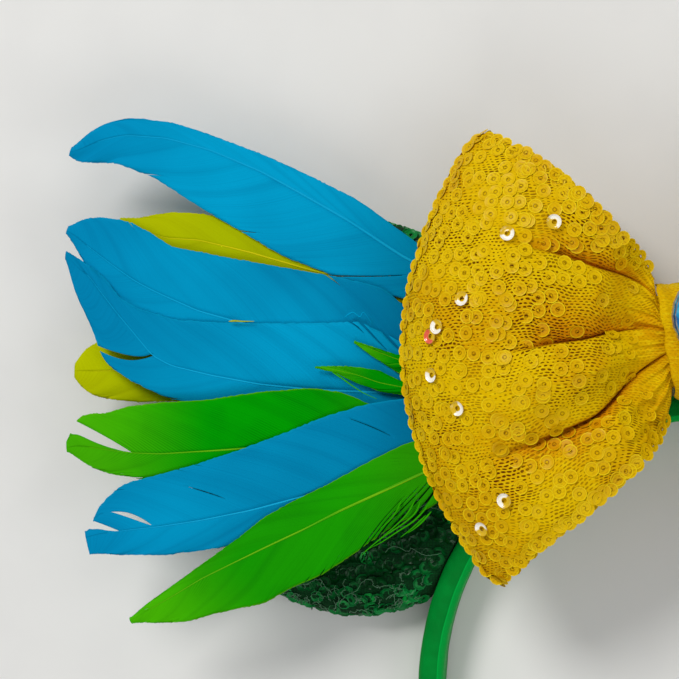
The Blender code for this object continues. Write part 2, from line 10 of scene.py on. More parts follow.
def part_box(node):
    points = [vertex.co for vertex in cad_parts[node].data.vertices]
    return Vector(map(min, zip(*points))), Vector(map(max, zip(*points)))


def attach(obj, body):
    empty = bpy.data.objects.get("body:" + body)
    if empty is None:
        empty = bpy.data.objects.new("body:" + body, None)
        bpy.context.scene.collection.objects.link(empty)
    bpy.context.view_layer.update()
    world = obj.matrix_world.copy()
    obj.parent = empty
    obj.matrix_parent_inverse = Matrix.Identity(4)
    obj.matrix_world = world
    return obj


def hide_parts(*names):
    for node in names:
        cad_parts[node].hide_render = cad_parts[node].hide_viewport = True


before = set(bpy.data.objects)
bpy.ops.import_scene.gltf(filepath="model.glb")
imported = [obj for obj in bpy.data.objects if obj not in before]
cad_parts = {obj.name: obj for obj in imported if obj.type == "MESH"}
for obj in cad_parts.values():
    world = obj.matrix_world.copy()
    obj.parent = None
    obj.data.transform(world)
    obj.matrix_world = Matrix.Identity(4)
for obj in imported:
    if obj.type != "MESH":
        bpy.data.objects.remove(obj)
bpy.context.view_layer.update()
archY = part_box("headband")[1].y - 0.0683  # centre of the arch, which the shapes below are laid out round
sideNames = (("Left", -1), ("Right", 1))
print("frame loaded, arch centre at y", round(archY, 5))


# Numbers and curves

def blend(low, high, share):
    return low + (high - low) * share


def ease(share):
    share = np.clip(share, 0.0, 1.0)
    return share * share * (3.0 - 2.0 * share)


def tableAt(table, place):
    # smooth reading of a table between its rows, place counted in rows
    rows = np.array(table, float)
    last = len(rows) - 1
    low = np.clip(np.floor(place).astype(int), 0, last - 1)
    part = (place - low)[:, None]
    before, start = rows[np.maximum(low - 1, 0)], rows[low]
    end, after = rows[low + 1], rows[np.minimum(low + 2, last)]
    curve = (2 * start + (end - before) * part + (2 * before - 5 * start + 4 * end - after) * part ** 2
             + (3 * start - before - 3 * end + after) * part ** 3)
    return curve / 2


def smoothLine(shares, values, at, window):
    # straight lines between the rows, with the corners rounded off over the window
    total, weight = 0.0, 0.0
    for step in np.linspace(-1, 1, 9):
        total = total + np.interp(at + step * window, shares, values) * (1.05 - abs(step))
        weight += 1.05 - abs(step)
    return total / weight


def roughness(points, size, seed):
    # soft noise, one value for each point
    return np.array([noise.noise(Vector((p[0] / size + seed, p[1] / size, p[2] / size))) for p in points])


def runAlong(line):
    # the distance run along a line, at each of its points
    return np.concatenate([[0], np.cumsum(np.linalg.norm(np.diff(line, axis=0), axis=1))])


def unit(vector):
    return vector / np.linalg.norm(vector)


# Meshes

def gridFaces(rows, columns, wrap=False, offset=0):
    faces = []
    for row in range(rows - 1):
        for column in range(columns if wrap else columns - 1):
            after = (column + 1) % columns
            corner = offset + row * columns
            above = corner + columns
            faces.append((corner + column, corner + after, above + after, above + column))
    return faces


def addPiece(name, points, faces, material, cloth=None, tone=None, smooth=True, slot=None, stands=()):
    # cloth holds two flat coordinates in metres for each point, and tone three shares
    mesh = bpy.data.meshes.new(name)
    mesh.from_pydata(np.asarray(points, float).tolist(), [], faces)
    mesh.update()
    corners = np.empty(len(mesh.loops), int)
    mesh.loops.foreach_get("vertex_index", corners)
    if cloth is not None:
        layer = mesh.uv_layers.new(name="cloth")
        layer.data.foreach_set("uv", np.asarray(cloth, float)[corners].ravel())
    if tone is not None:
        layer = mesh.color_attributes.new("tone", "FLOAT_COLOR", "POINT")
        tone = np.hstack([np.asarray(tone, float), np.ones((len(tone), 1))])
        layer.data.foreach_set("color", tone.ravel())
    if smooth:
        mesh.shade_smooth()
    mesh.materials.append(material)
    piece = bpy.data.objects.new(name, mesh)
    bpy.context.scene.collection.objects.link(piece)
    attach(piece, "root")
    if stands:
        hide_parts(*stands)
    return piece


def tubeMesh(path, radii, sides=6, flat=1.0, up=None):
    # a round or flattened tube along a path, closed at both ends
    path = np.asarray(path, float)
    ahead = np.gradient(path, axis=0)
    ahead /= np.linalg.norm(ahead, axis=1)[:, None] + 1e-12
    up = np.array([0.0, 0.0, 1.0]) if up is None else np.asarray(up, float)
    side = np.cross(ahead, up)
    side /= np.linalg.norm(side, axis=1)[:, None] + 1e-12
    over = np.cross(side, ahead)
    radii = np.broadcast_to(np.asarray(radii, float), (len(path),))
    turns = np.arange(sides) * 2 * pi / sides
    ring = (path[:, None] + side[:, None] * (radii[:, None] * np.cos(turns))[..., None]
            + over[:, None] * (radii[:, None] * np.sin(turns) * flat)[..., None])
    faces = gridFaces(len(path), sides, wrap=True)
    faces += [tuple(range(sides))[::-1], tuple(range((len(path) - 1) * sides, len(path) * sides))]
    return ring.reshape(-1, 3), faces


class Gathered:
    # collects small pieces of geometry into one mesh
    def __init__(self):
        self.points, self.faces, self.cloth, self.tone, self.count = [], [], [], [], 0

    def add(self, points, faces, cloth=None, tone=(0.5, 0.5, 0.5)):
        points = np.asarray(points, float)
        self.points.append(points)
        self.faces += [tuple(corner + self.count for corner in face) for face in faces]
        self.cloth.append(np.zeros((len(points), 2)) if cloth is None else np.asarray(cloth, float))
        self.tone.append(np.broadcast_to(np.asarray(tone, float), (len(points), 3)))
        self.count += len(points)

    def piece(self, name, material, **options):
        return addPiece(name, np.vstack(self.points), self.faces, material, cloth=np.vstack(self.cloth),
                        tone=np.vstack(self.tone), **options)


def mirrored(points, side):
    # side is -1 on the left, where everything is laid out, and 1 on the right
    points = np.array(points, float)
    points[:, 0] *= -side
    return points


def turned(faces, side):
    return faces if side < 0 else [face[::-1] for face in faces]


def toFrame(points):
    return np.asarray(points, float) + (0.0, archY, 0.0)


def onSide(points, side):
    return toFrame(mirrored(points, side))


def tubeOnSide(path, side, radii, sides, flat=1.0):
    points, faces = tubeMesh(mirrored(path, side), radii, sides, flat=flat)
    return toFrame(points), faces


def tubeCloth(run, sides, step):
    # flat coordinates of a tube: the run along it, and one step for each side round it
    return np.stack([np.repeat(run, sides), np.tile(np.arange(sides) * step, len(run))], axis=1)


# Materials

def newMaterial(name, **sockets):
    material = bpy.data.materials.new(name)
    material.use_nodes = True
    shader = material.node_tree.nodes["Principled BSDF"]
    for socket, value in sockets.items():
        shader.inputs[socket.replace("_", " ")].default_value = value
    return material, material.node_tree, shader


def addNode(tree, kind, sockets=None, **settings):
    node = tree.nodes.new(kind)
    for setting, value in settings.items():
        setattr(node, setting, value)
    for socket, value in (sockets or {}).items():
        if isinstance(value, bpy.types.NodeSocket):
            tree.links.new(value, node.inputs[socket])
        else:
            node.inputs[socket].default_value = value
    return node


def compute(tree, operation, first, second=0.0):
    return addNode(tree, "ShaderNodeMath", {0: first, 1: second}, operation=operation).outputs[0]


def times(tree, first, second):
    return compute(tree, "MULTIPLY", first, second)


def mixColour(tree, share, first, second):
    return addNode(tree, "ShaderNodeMix", {0: share, 6: first, 7: second}, data_type="RGBA").outputs[2]


def spread(tree, value, low, high, toLow=0.0, toHigh=1.0):
    sockets = {0: value, 1: low, 2: high, 3: toLow, 4: toHigh}
    return addNode(tree, "ShaderNodeMapRange", sockets, interpolation_type="SMOOTHSTEP").outputs[0]


def tinted(tree, colour, tint, value, *limits):
    # a tint laid over a colour, more of it as a value goes from its low limit to its high one
    return mixColour(tree, spread(tree, value, *limits), colour, tint)


def clothPlace(tree, across=1.0, along=1.0):
    # the piece's own flat coordinates, in metres, scaled
    flat = addNode(tree, "ShaderNodeUVMap", uv_map="cloth").outputs[0]
    return addNode(tree, "ShaderNodeMapping", {"Vector": flat, "Scale": (across, along, 1.0)}).outputs[0]


def spots(tree, scale, detail=2.0, rough=0.5, place=None):
    place = place or addNode(tree, "ShaderNodeTexCoord").outputs["Object"]
    sockets = {"Vector": place, "Scale": scale, "Detail": detail, "Roughness": rough}
    return addNode(tree, "ShaderNodeTexNoise", sockets).outputs[0]


def ribs(tree, place, direction, distortion, detail=2.0):
    # fine lines that run across one direction, a little wavy
    sockets = {"Vector": place, "Scale": 1.0, "Distortion": distortion, "Detail": detail}
    node = addNode(tree, "ShaderNodeTexWave", sockets, wave_type="BANDS", bands_direction=direction)
    return node.outputs[1]


def toneOf(tree):
    colour = addNode(tree, "ShaderNodeVertexColor", layer_name="tone").outputs[0]
    return addNode(tree, "ShaderNodeSeparateColor", {0: colour}).outputs


def bumped(tree, shader, height, strength, distance):
    bump = addNode(tree, "ShaderNodeBump", {"Height": height, "Strength": strength, "Distance": distance})
    tree.links.new(bump.outputs[0], shader.inputs["Normal"])


def finished(tree, shader, colour, rough=None):
    tree.links.new(colour, shader.inputs["Base Color"])
    if rough is not None:
        tree.links.new(rough, shader.inputs["Roughness"])


def rgb(red, green, blue):
    # a colour as it is read off a picture, 0 to 255
    channels = [(value / 255 / 12.92) if value < 10.3 else ((value / 255 + 0.055) / 1.055) ** 2.4
                for value in (red, green, blue)]
    return (*channels, 1.0)


# Band: a satin ribbon wrapped round padding

band = {
    "innerRadius": 0.0625, "thickness": 0.0058, "width": 0.0120, "edgeRadius": 0.0024,
    "legLength": 0.0620, "legLean": 0.0075,
    "legSteps": 60, "archSteps": 180,
    "tipSteps": [0, 1, 2, 4, 7], "tipShares": [0.55, 0.80, 0.93, 0.985, 1.0],
    "foldShare": 0.25, "foldHeight": 0.00008,     # ribbon edge folded over on the inner side of the front
    "foldSteps": [(0.00050, 0.0), (0.00010, 0.0), (0.0, 0.6), (-0.00025, 1.0)],  # place, share of the height
    # lightColour serves the weave and the painted sheen on the folded strip
    "colour": rgb(0, 134, 48), "lightColour": rgb(0, 170, 66), "darkColour": rgb(0, 114, 38),
}


def satinMaterial():
    material, tree, shader = newMaterial("greenSatin", Roughness=0.52, Sheen_Weight=0.01, Sheen_Roughness=0.4,
                                         Anisotropic=0.45, Specular_IOR_Level=0.03)
    shader.inputs["Sheen Tint"].default_value = rgb(10, 200, 80)
    threads = ribs(tree, clothPlace(tree, 2600, 300), "X", 1.2, 1.0)
    crossing = ribs(tree, clothPlace(tree, 200, 3400), "Y", 1.5, 1.0)
    weave = times(tree, threads, crossing)
    patches = spots(tree, 160, 3.0)
    wear = spread(tree, patches, 0.35, 0.72)
    colour = mixColour(tree, wear, band["darkColour"], band["colour"])
    colour = mixColour(tree, times(tree, weave, 0.45), colour, band["lightColour"])
    # painted sheen: the folded strip on the inner side is painted lighter
    foldSheen = toneOf(tree)[0]
    colour = mixColour(tree, times(tree, foldSheen, 0.95), colour, band["lightColour"])
    finished(tree, shader, colour, spread(tree, patches, 0.3, 0.7, 0.36, 0.50))
    bumped(tree, shader, compute(tree, "ADD", weave, times(tree, patches, 1.6)), 0.35, 0.00012)
    return material


def bandStations():
    middle = band["innerRadius"] + band["thickness"] / 2
    stations = []
    for share in np.linspace(1, 0, band["legSteps"] + 1)[:-1]:
        slope = 2 * band["legLean"] * share / band["legLength"]
        outward = Vector((1.0, -slope, 0.0)).normalized()
        place = Vector((middle - band["legLean"] * share ** 2, -band["legLength"] * share, 0))
        stations.append((place, outward))
    for angle in np.linspace(0, pi, band["archSteps"] + 1):
        outward = Vector((cos(angle), sin(angle), 0.0))
        stations.append((outward * middle, outward))
    for place, outward in stations[:band["legSteps"]][::-1]:
        stations.append((Vector((-place.x, place.y, 0)), Vector((-outward.x, outward.y, 0))))
    return stations


def makeBand():
    material = satinMaterial()
    stations = bandStations()
    half, deep, bend = band["thickness"] / 2, band["width"] / 2, band["edgeRadius"]
    foldAt = -half + band["foldShare"] * band["thickness"]
    section = []                                   # outward, forward, fold tone, round the section
    for corner, (outward, forward) in enumerate([(1, 1), (-1, 1), (-1, -1), (1, -1)]):
        for step in range(9):
            angle = pi / 2 * (corner + step / 8)
            section.append([outward * (half - bend) + bend * cos(angle),
                            forward * (deep - bend) + bend * sin(angle), 0.0])
    top = np.array(section[:18])
    folded = []
    for out, rise in band["foldSteps"]:
        forward = np.interp(foldAt + out, top[::-1, 0], top[::-1, 1])
        folded.append([foldAt + out, forward + rise * band["foldHeight"], 0.0])
    section = np.array(sorted(section[:18] + folded, key=lambda row: -row[0]) + section[18:])
    # the third column, 1 on the folded strip, is the share of its painted sheen
    section[:, 2] = np.where((section[:, 0] < foldAt + 1e-5) & (section[:, 1] > 0), 1.0, 0.0)
    count = len(section)
    points, cloth, tones = [], [], []
    around = runAlong(section[:, :2])
    run, previous = 0.0, stations[0][0]
    for index, (place, outward) in enumerate(stations):
        fromEnd = min(index, len(stations) - 1 - index)
        share = np.interp(fromEnd, band["tipSteps"], band["tipShares"])
        run += (place - previous).length
        previous = place
        for number, (out, forward, tone) in enumerate(section):
            # the wrapped satin is a little uneven
            ripple = noise.noise(Vector((run * 260, out * 500, forward * 300))) * 0.00010
            ripple += noise.noise(Vector((run * 60, out * 90, forward * 90 + 7))) * 0.00014
            spot = place + outward * (out * share + ripple * np.sign(out))
            points.append((spot.x, spot.y, deep + forward * share + ripple * np.sign(forward) * 0.6))
            cloth.append((run, around[number]))
            tones.append((tone, 0.5, 0.5))
    faces = gridFaces(len(stations), count, wrap=True)
    faces += [tuple(range(count)), tuple(range((len(stations) - 1) * count, len(stations) * count))[::-1]]
    points = np.array(points)
    points[:, 2] = np.maximum(points[:, 2], 0.0)
    piece = addPiece("bandRibbon", toFrame(points), faces, material, cloth=cloth, tone=tones,
                     slot="band_satin", stands=["headband"])


makeBand()
print("band made")


# Sequins, shared by the ears and the bow

def sequinShape(radius, hole, cup, sides=12):
    # a small cup with a hole in its middle: rings of (distance from the middle, height)
    wide = radius - hole
    rings = [(hole, 0.20 * cup), (hole + 0.28 * wide, 0.0), (hole + 0.70 * wide, 0.15 * cup),
             (hole + 0.90 * wide, 0.85 * cup), (radius, cup)]
    turns = np.arange(sides) * 2 * pi / sides
    points = np.array([(far * cos(turn), far * sin(turn), high) for far, high in rings for turn in turns])
    shares = np.repeat([(far - hole) / wide for far, high in rings], sides)
    return points, gridFaces(len(rings), sides, wrap=True), shares


def placeShape(points, place, normal, spin, lean, rng):
    # turns a small shape to stand on a surface, tipped a little
    normal = unit(np.asarray(normal, float) + rng.normal(0, lean, 3))
    helper = np.array([1.0, 0.0, 0.0]) if abs(normal[0]) < 0.9 else np.array([0.0, 1.0, 0.0])
    first = unit(np.cross(normal, helper))
    second = np.cross(normal, first)
    along = first * cos(spin) + second * sin(spin)
    beside = np.cross(normal, along)
    return np.asarray(place) + points[:, :1] * along + points[:, 1:2] * beside + points[:, 2:] * normal


# Ears: padding under sequinned cloth

ear = {
    "halfWidth": 0.0410, "halfHeight": 0.0459, "thickness": 0.0118, "tilt": radians(3.0),
    "centreAngle": radians(143.2), "centreDistance": 0.1042, "bandRadius": 0.0686,
    # rows of (share of the oval, share of the thickness), from the middle of the back round to the front
    "profile": [(0.0, 0.035), (0.30, 0.025), (0.60, 0.01), (0.88, 0.0), (0.945, 0.05), (0.985, 0.22),
                (1.00, 0.42), (0.985, 0.60), (0.94, 0.755), (0.85, 0.86), (0.68, 0.915), (0.40, 0.935),
                (0.0, 0.94)],
    "frontRow": 6, "profileSteps": 73, "seamStep": 34, "turns": 112, "swellSize": 0.011, "swell": 0.00035,
    "seamReach": 0.975, "seamHeight": 0.0015, "seamRadius": 0.0006, "seamPoints": 150,
    "rowSpacing": 0.00205, "sequinSpacing": 0.0021, "sequinRadius": 0.0016, "sequinHole": 0.0004,
    "sequinCup": 0.00026, "sequinTop": 0.01215, "rimHeight": 0.0062, "rimStep": 0.030,
    "threadRadius": 0.00009, "threadTop": 0.01235, "threadRise": 0.00080, "squiggles": 380,
    "colour": rgb(1, 60, 20), "lightColour": rgb(4, 136, 58), "brightSequin": rgb(14, 160, 62),
    "thread": rgb(196, 240, 208),
}
earCentre = np.array([ear["centreDistance"] * cos(ear["centreAngle"]),
                      ear["centreDistance"] * sin(ear["centreAngle"]), 0.0])


def earClothMaterial():
    material, tree, shader = newMaterial("earCloth", Roughness=0.8, Sheen_Weight=0.05, Sheen_Roughness=0.5,
                                         Specular_IOR_Level=0.1)
    weave = addNode(tree, "ShaderNodeTexVoronoi", {"Vector": clothPlace(tree, 1500, 1500), "Scale": 1.0,
                    "Randomness": 0.35}).outputs[0]
    patches = spots(tree, 90, 3.0)
    colour = mixColour(tree, spread(tree, patches, 0.3, 0.7), rgb(1, 46, 17), rgb(3, 70, 27))
    colour = tinted(tree, colour, rgb(1, 28, 10), weave, 0.25, 0.6, 0.0, 0.45)
    finished(tree, shader, colour)
    bumped(tree, shader, times(tree, weave, -1.0), 0.6, 0.0003)
    return material


def earBackMaterial():
    material, tree, shader = newMaterial("earBackFelt", Roughness=0.92, Sheen_Weight=0.25,
                                         Sheen_Roughness=0.6, Specular_IOR_Level=0.15)
    fibres = spots(tree, 2200, 4.0, 0.65)
    patches = spots(tree, 120, 3.0)
    colour = mixColour(tree, spread(tree, fibres, 0.3, 0.7), rgb(4, 44, 18), rgb(14, 78, 36))
    patchShare = times(tree, spread(tree, patches, 0.4, 0.7), 0.4)
    colour = mixColour(tree, patchShare, colour, rgb(20, 92, 44))
    finished(tree, shader, colour)
    bumped(tree, shader, fibres, 0.5, 0.0004)
    return material


def earSequinMaterial():
    material, tree, shader = newMaterial("earSequin", Roughness=0.36, Metallic=0.05, Coat_Weight=0.03,
                                         Coat_Roughness=0.25, Specular_IOR_Level=0.12)
    reach, lot, bright = toneOf(tree)[:3]
    # lot brings in painted light, more of it towards the ear's rim, over a random tone
    colour = mixColour(tree, lot, ear["colour"], ear["lightColour"])
    colour = tinted(tree, colour, ear["brightSequin"], bright, 0.6, 0.9)
    # painted highlight on each cup's rim, painted shade on its wall and round its hole
    rimHighlightShare = times(tree, spread(tree, reach, 0.84, 0.94, 0.0, 0.7), spread(tree, lot, 0.3, 1.0))
    colour = mixColour(tree, rimHighlightShare, colour, rgb(40, 150, 84))
    plain = spread(tree, lot, 0.45, 0.95, 1.0, 0.35)  # lit sequins show less of their ring and hole
    ringShadeShare = times(tree, spread(tree, reach, 0.55, 0.80, 0.0, 0.30), plain)
    colour = mixColour(tree, ringShadeShare, colour, rgb(1, 26, 9))
    holeShadeShare = times(tree, spread(tree, reach, 0.02, 0.22, 0.85, 0.0), plain)
    colour = mixColour(tree, holeShadeShare, colour, rgb(0, 12, 5))
    colour = tinted(tree, colour, rgb(2, 30, 12), spots(tree, 900, 2.0), 0.45, 0.75, 0.0, 0.3)
    finished(tree, shader, colour, spread(tree, lot, 0.0, 1.0, 0.20, 0.38))
    bumped(tree, shader, spots(tree, 1500, 2.0), 0.15, 0.0002)
    return material


def threadMaterial(name, colour, dark):
    material, tree, shader = newMaterial(name, Roughness=0.6, Sheen_Weight=0.2)
    twist = ribs(tree, clothPlace(tree, 3000, 900), "DIAGONAL", 0.6)
    finished(tree, shader, mixColour(tree, twist, dark, colour))
    bumped(tree, shader, twist, 0.4, 0.00008)
    return material


def earPlace(reach, turn, height):
    # a place on the left ear from its share of the oval, its angle and its height, seated on the band
    x = reach * ear["halfWidth"] * np.cos(turn)
    y = reach * ear["halfHeight"] * np.sin(turn)
    tilt = ear["tilt"]
    points = np.stack([earCentre[0] + x * cos(tilt) - y * sin(tilt),
                       earCentre[1] + x * sin(tilt) + y * cos(tilt), height + 0 * x], axis=-1)
    far = np.hypot(points[..., 0], points[..., 1])
    push = np.maximum(ear["bandRadius"] / np.maximum(far, 1e-6), 1.0)
    points[..., 0] *= push
    points[..., 1] *= push
    return points


def earHeight(reach):
    # height of the front at a share of the oval
    reaches, rises = zip(*ear["profile"][ear["frontRow"]:][::-1])
    return np.interp(reach, reaches, rises) * ear["thickness"]


def sequinTones(shares, lot, bright):
    return np.stack([shares, np.full(len(shares), lot), np.full(len(shares), bright)], axis=1)


def makeEarShell(label, side, cloth, back):
    profile = tableAt(ear["profile"], np.linspace(0, len(ear["profile"]) - 1, ear["profileSteps"]))
    turns = np.arange(ear["turns"]) * 2 * pi / ear["turns"]
    points, flat = [], []
    for reach, rise in profile:
        ring = earPlace(max(reach, 0.002), turns, 0.0)
        ring[:, 2] = np.clip(rise, 0.0, 1.0) * ear["thickness"]
        points.append(ring)
        flat.append(ring[:, :2] + (0, 0.3 * ring[:, 2].mean()))
    points, flat = np.vstack(points), np.vstack(flat)
    front = np.clip((points[:, 2] - 0.003) / 0.004, 0, 1)
    points[:, 2] += roughness(points, ear["swellSize"], 3.0) * ear["swell"] * front
    faces = gridFaces(len(profile), len(turns), wrap=True)
    seam = ear["seamStep"] * len(turns)            # the back panel ends where the side turns forward
    frontFaces = [face for face in faces if face[0] >= seam]
    backFaces = [face for face in faces if face[0] < seam]
    shell = addPiece("ear" + label + "Cloth", onSide(points, side), turned(backFaces + frontFaces, side),
                     cloth, cloth=flat, slot="ear_sequins", stands=["ear_" + label.lower()])
    shell.data.materials.append(back)
    shell.data.polygons.foreach_set("material_index", [1] * len(backFaces) + [0] * len(frontFaces))

    # piped seam between the sequinned cloth and the back
    numbers = np.arange(ear["seamPoints"])
    ring = earPlace(ear["seamReach"], np.linspace(0, 2 * pi, ear["seamPoints"]), ear["seamHeight"])
    ring[:, 2] += 0.0001 * np.sin(numbers * 2.1)
    addPiece("ear" + label + "Seam", *tubeOnSide(ring, side, ear["seamRadius"], 7), back, slot="ear_sequins",
             cloth=tubeCloth(numbers * 0.0018, 7, 0.0005))


def sewEarRow(row, side, shape, sequins, rng):
    # one meandering row of sequins; gives back the places that it passes, with the direction each faces
    shapePoints, shapeFaces, shares = shape
    base = -ear["halfHeight"] + (row + 0.3) * ear["rowSpacing"]
    trail, x = [], -ear["halfWidth"]
    while x < ear["halfWidth"]:
        wander = 0.0013 * sin(x * 420 + row * 2.4)
        wander += 0.0010 * noise.noise(Vector((x * 160, row * 0.7, 2)))
        y = base + wander
        reach = np.hypot(x / ear["halfWidth"], y / ear["halfHeight"])
        turn = np.arctan2(y / ear["halfHeight"], x / ear["halfWidth"])
        spot = earPlace(reach, np.array([turn]), earHeight(reach))[0]
        if reach < 0.985 and np.hypot(spot[0], spot[1]) > ear["bandRadius"] + 0.0012:
            slope = np.clip((reach - 0.75) / 0.25, 0, 1) ** 2 * 1.3
            outward = spot - np.append(earCentre[:2], spot[2])
            outward /= np.linalg.norm(outward) + 1e-9
            normal = np.array([0, 0, 1.0]) + outward * slope
            bright = 1.0 if rng.random() < 0.016 else 0.2
            # painted light: sequins lighter towards the ear's rim, over a random tone
            lot = np.clip(0.5 * rng.random() ** 3 + 0.75 * ease((reach - 0.82) / 0.12), 0, 1)
            lean = 0.06 + 0.14 * (reach > 0.8)
            spot[2] += roughness(spot[None], ear["swellSize"], 3.0)[0] * ear["swell"] + 0.0001
            placed = placeShape(shapePoints, spot, normal, rng.random() * 6.3, lean, rng)
            placed[:, 2] = np.minimum(placed[:, 2], ear["sequinTop"])
            sequins.add(onSide(placed, side), turned(shapeFaces, side), tone=sequinTones(shares, lot, bright))
            trail.append((spot, normal))
        x += ear["sequinSpacing"] * (0.85 + 0.3 * rng.random())
    return trail


def sewEarThread(trail, side, threads, rng):
    # wandering runs of thread along a row, broken where sequins cover it
    stretch = []
    for spot, normal in trail:
        stretch.append(spot + unit(normal) * ear["threadRise"]
                       + np.array([rng.normal(0, 0.0006), rng.normal(0, 0.0009), 0.0]))
        if len(stretch) > 3 and rng.random() < 0.20:
            path = np.array(stretch)
            fine = np.linspace(0, len(path) - 1, len(path) * 4)
            path = tableAt(path, fine) + rng.normal(0, 0.00010, (len(fine), 3))
            path[:, 2] = np.minimum(path[:, 2], ear["threadTop"])
            if rng.random() < 0.42:
                threads.add(*tubeOnSide(path, side, ear["threadRadius"], 3))
            stretch = []


def sewEarRim(side, shape, sequins, rng):
    # sequins round the rim, standing a little past the outline
    shapePoints, shapeFaces, shares = shape
    for turn in np.arange(0, 2 * pi, ear["rimStep"]):
        aimed = np.array([turn + rng.normal(0, 0.008)])
        spot = earPlace(1.0, aimed, ear["rimHeight"] + rng.normal(0, 0.0011))[0]
        if np.hypot(spot[0], spot[1]) > ear["bandRadius"] + 0.0025:
            outward = unit(spot - np.append(earCentre[:2], spot[2]))
            spin, normal = rng.random() * 6.3, outward * 0.6 + (0, 0, 0.8)
            placed = placeShape(shapePoints, spot - outward * 0.0010, normal, spin, 0.25, rng)
            # the rim's sequins are painted lighter as well
            lot = 0.4 + 0.6 * rng.random()
            sequins.add(onSide(placed, side), turned(shapeFaces, side), tone=sequinTones(shares, lot, 0.2))


def addEarThreadEnds(side, threads, rng):
    # loose ends of thread, thickest towards the rim
    for _ in range(ear["squiggles"]):
        turn, reach = rng.random() * 2 * pi, 1.0 - 0.16 * rng.random() ** 1.3
        heading, path = rng.random() * 2 * pi, []
        for _ in range(6):
            spot = earPlace(reach, np.array([turn]), earHeight(min(reach, 0.995)))[0]
            path.append(spot + (0, 0, 0.0007 + 0.0002 * rng.random()))
            heading += rng.normal(0, 1.1)
            turn, reach = turn + 0.016 * cos(heading), min(reach + 0.011 * sin(heading), 1.0)
        path = np.array(path)
        path[:, 2] = np.minimum(path[:, 2], ear["threadTop"])
        if np.hypot(path[:, 0], path[:, 1]).min() > ear["bandRadius"] + 0.0015:
            threads.add(*tubeOnSide(path, side, ear["threadRadius"], 3))


def makeEar(label, side, cloth, back, sequin, thread):
    makeEarShell(label, side, cloth, back)
    rng = np.random.default_rng(31)
    shape = sequinShape(ear["sequinRadius"], ear["sequinHole"], ear["sequinCup"], 8)
    sequins, threads = Gathered(), Gathered()
    for row in range(int(2 * ear["halfHeight"] / ear["rowSpacing"]) + 1):
        sewEarThread(sewEarRow(row, side, shape, sequins, rng), side, threads, rng)
    sewEarRim(side, shape, sequins, rng)
    addEarThreadEnds(side, threads, rng)
    sequins.piece("ear" + label + "Sequins", sequin, slot="ear_sequins")
    threads.piece("ear" + label + "Thread", thread, slot="ear_sequins")


earCloth, earBack, earSequin = earClothMaterial(), earBackMaterial(), earSequinMaterial()
earThread = threadMaterial("earThread", ear["thread"], rgb(70, 120, 84))
for label, side in sideNames:
    makeEar(label, side, earCloth, earBack, earSequin, earThread)
print("ears made")


# Bow: net sewn with clear cup sequins, each loop one folded and gathered sheet

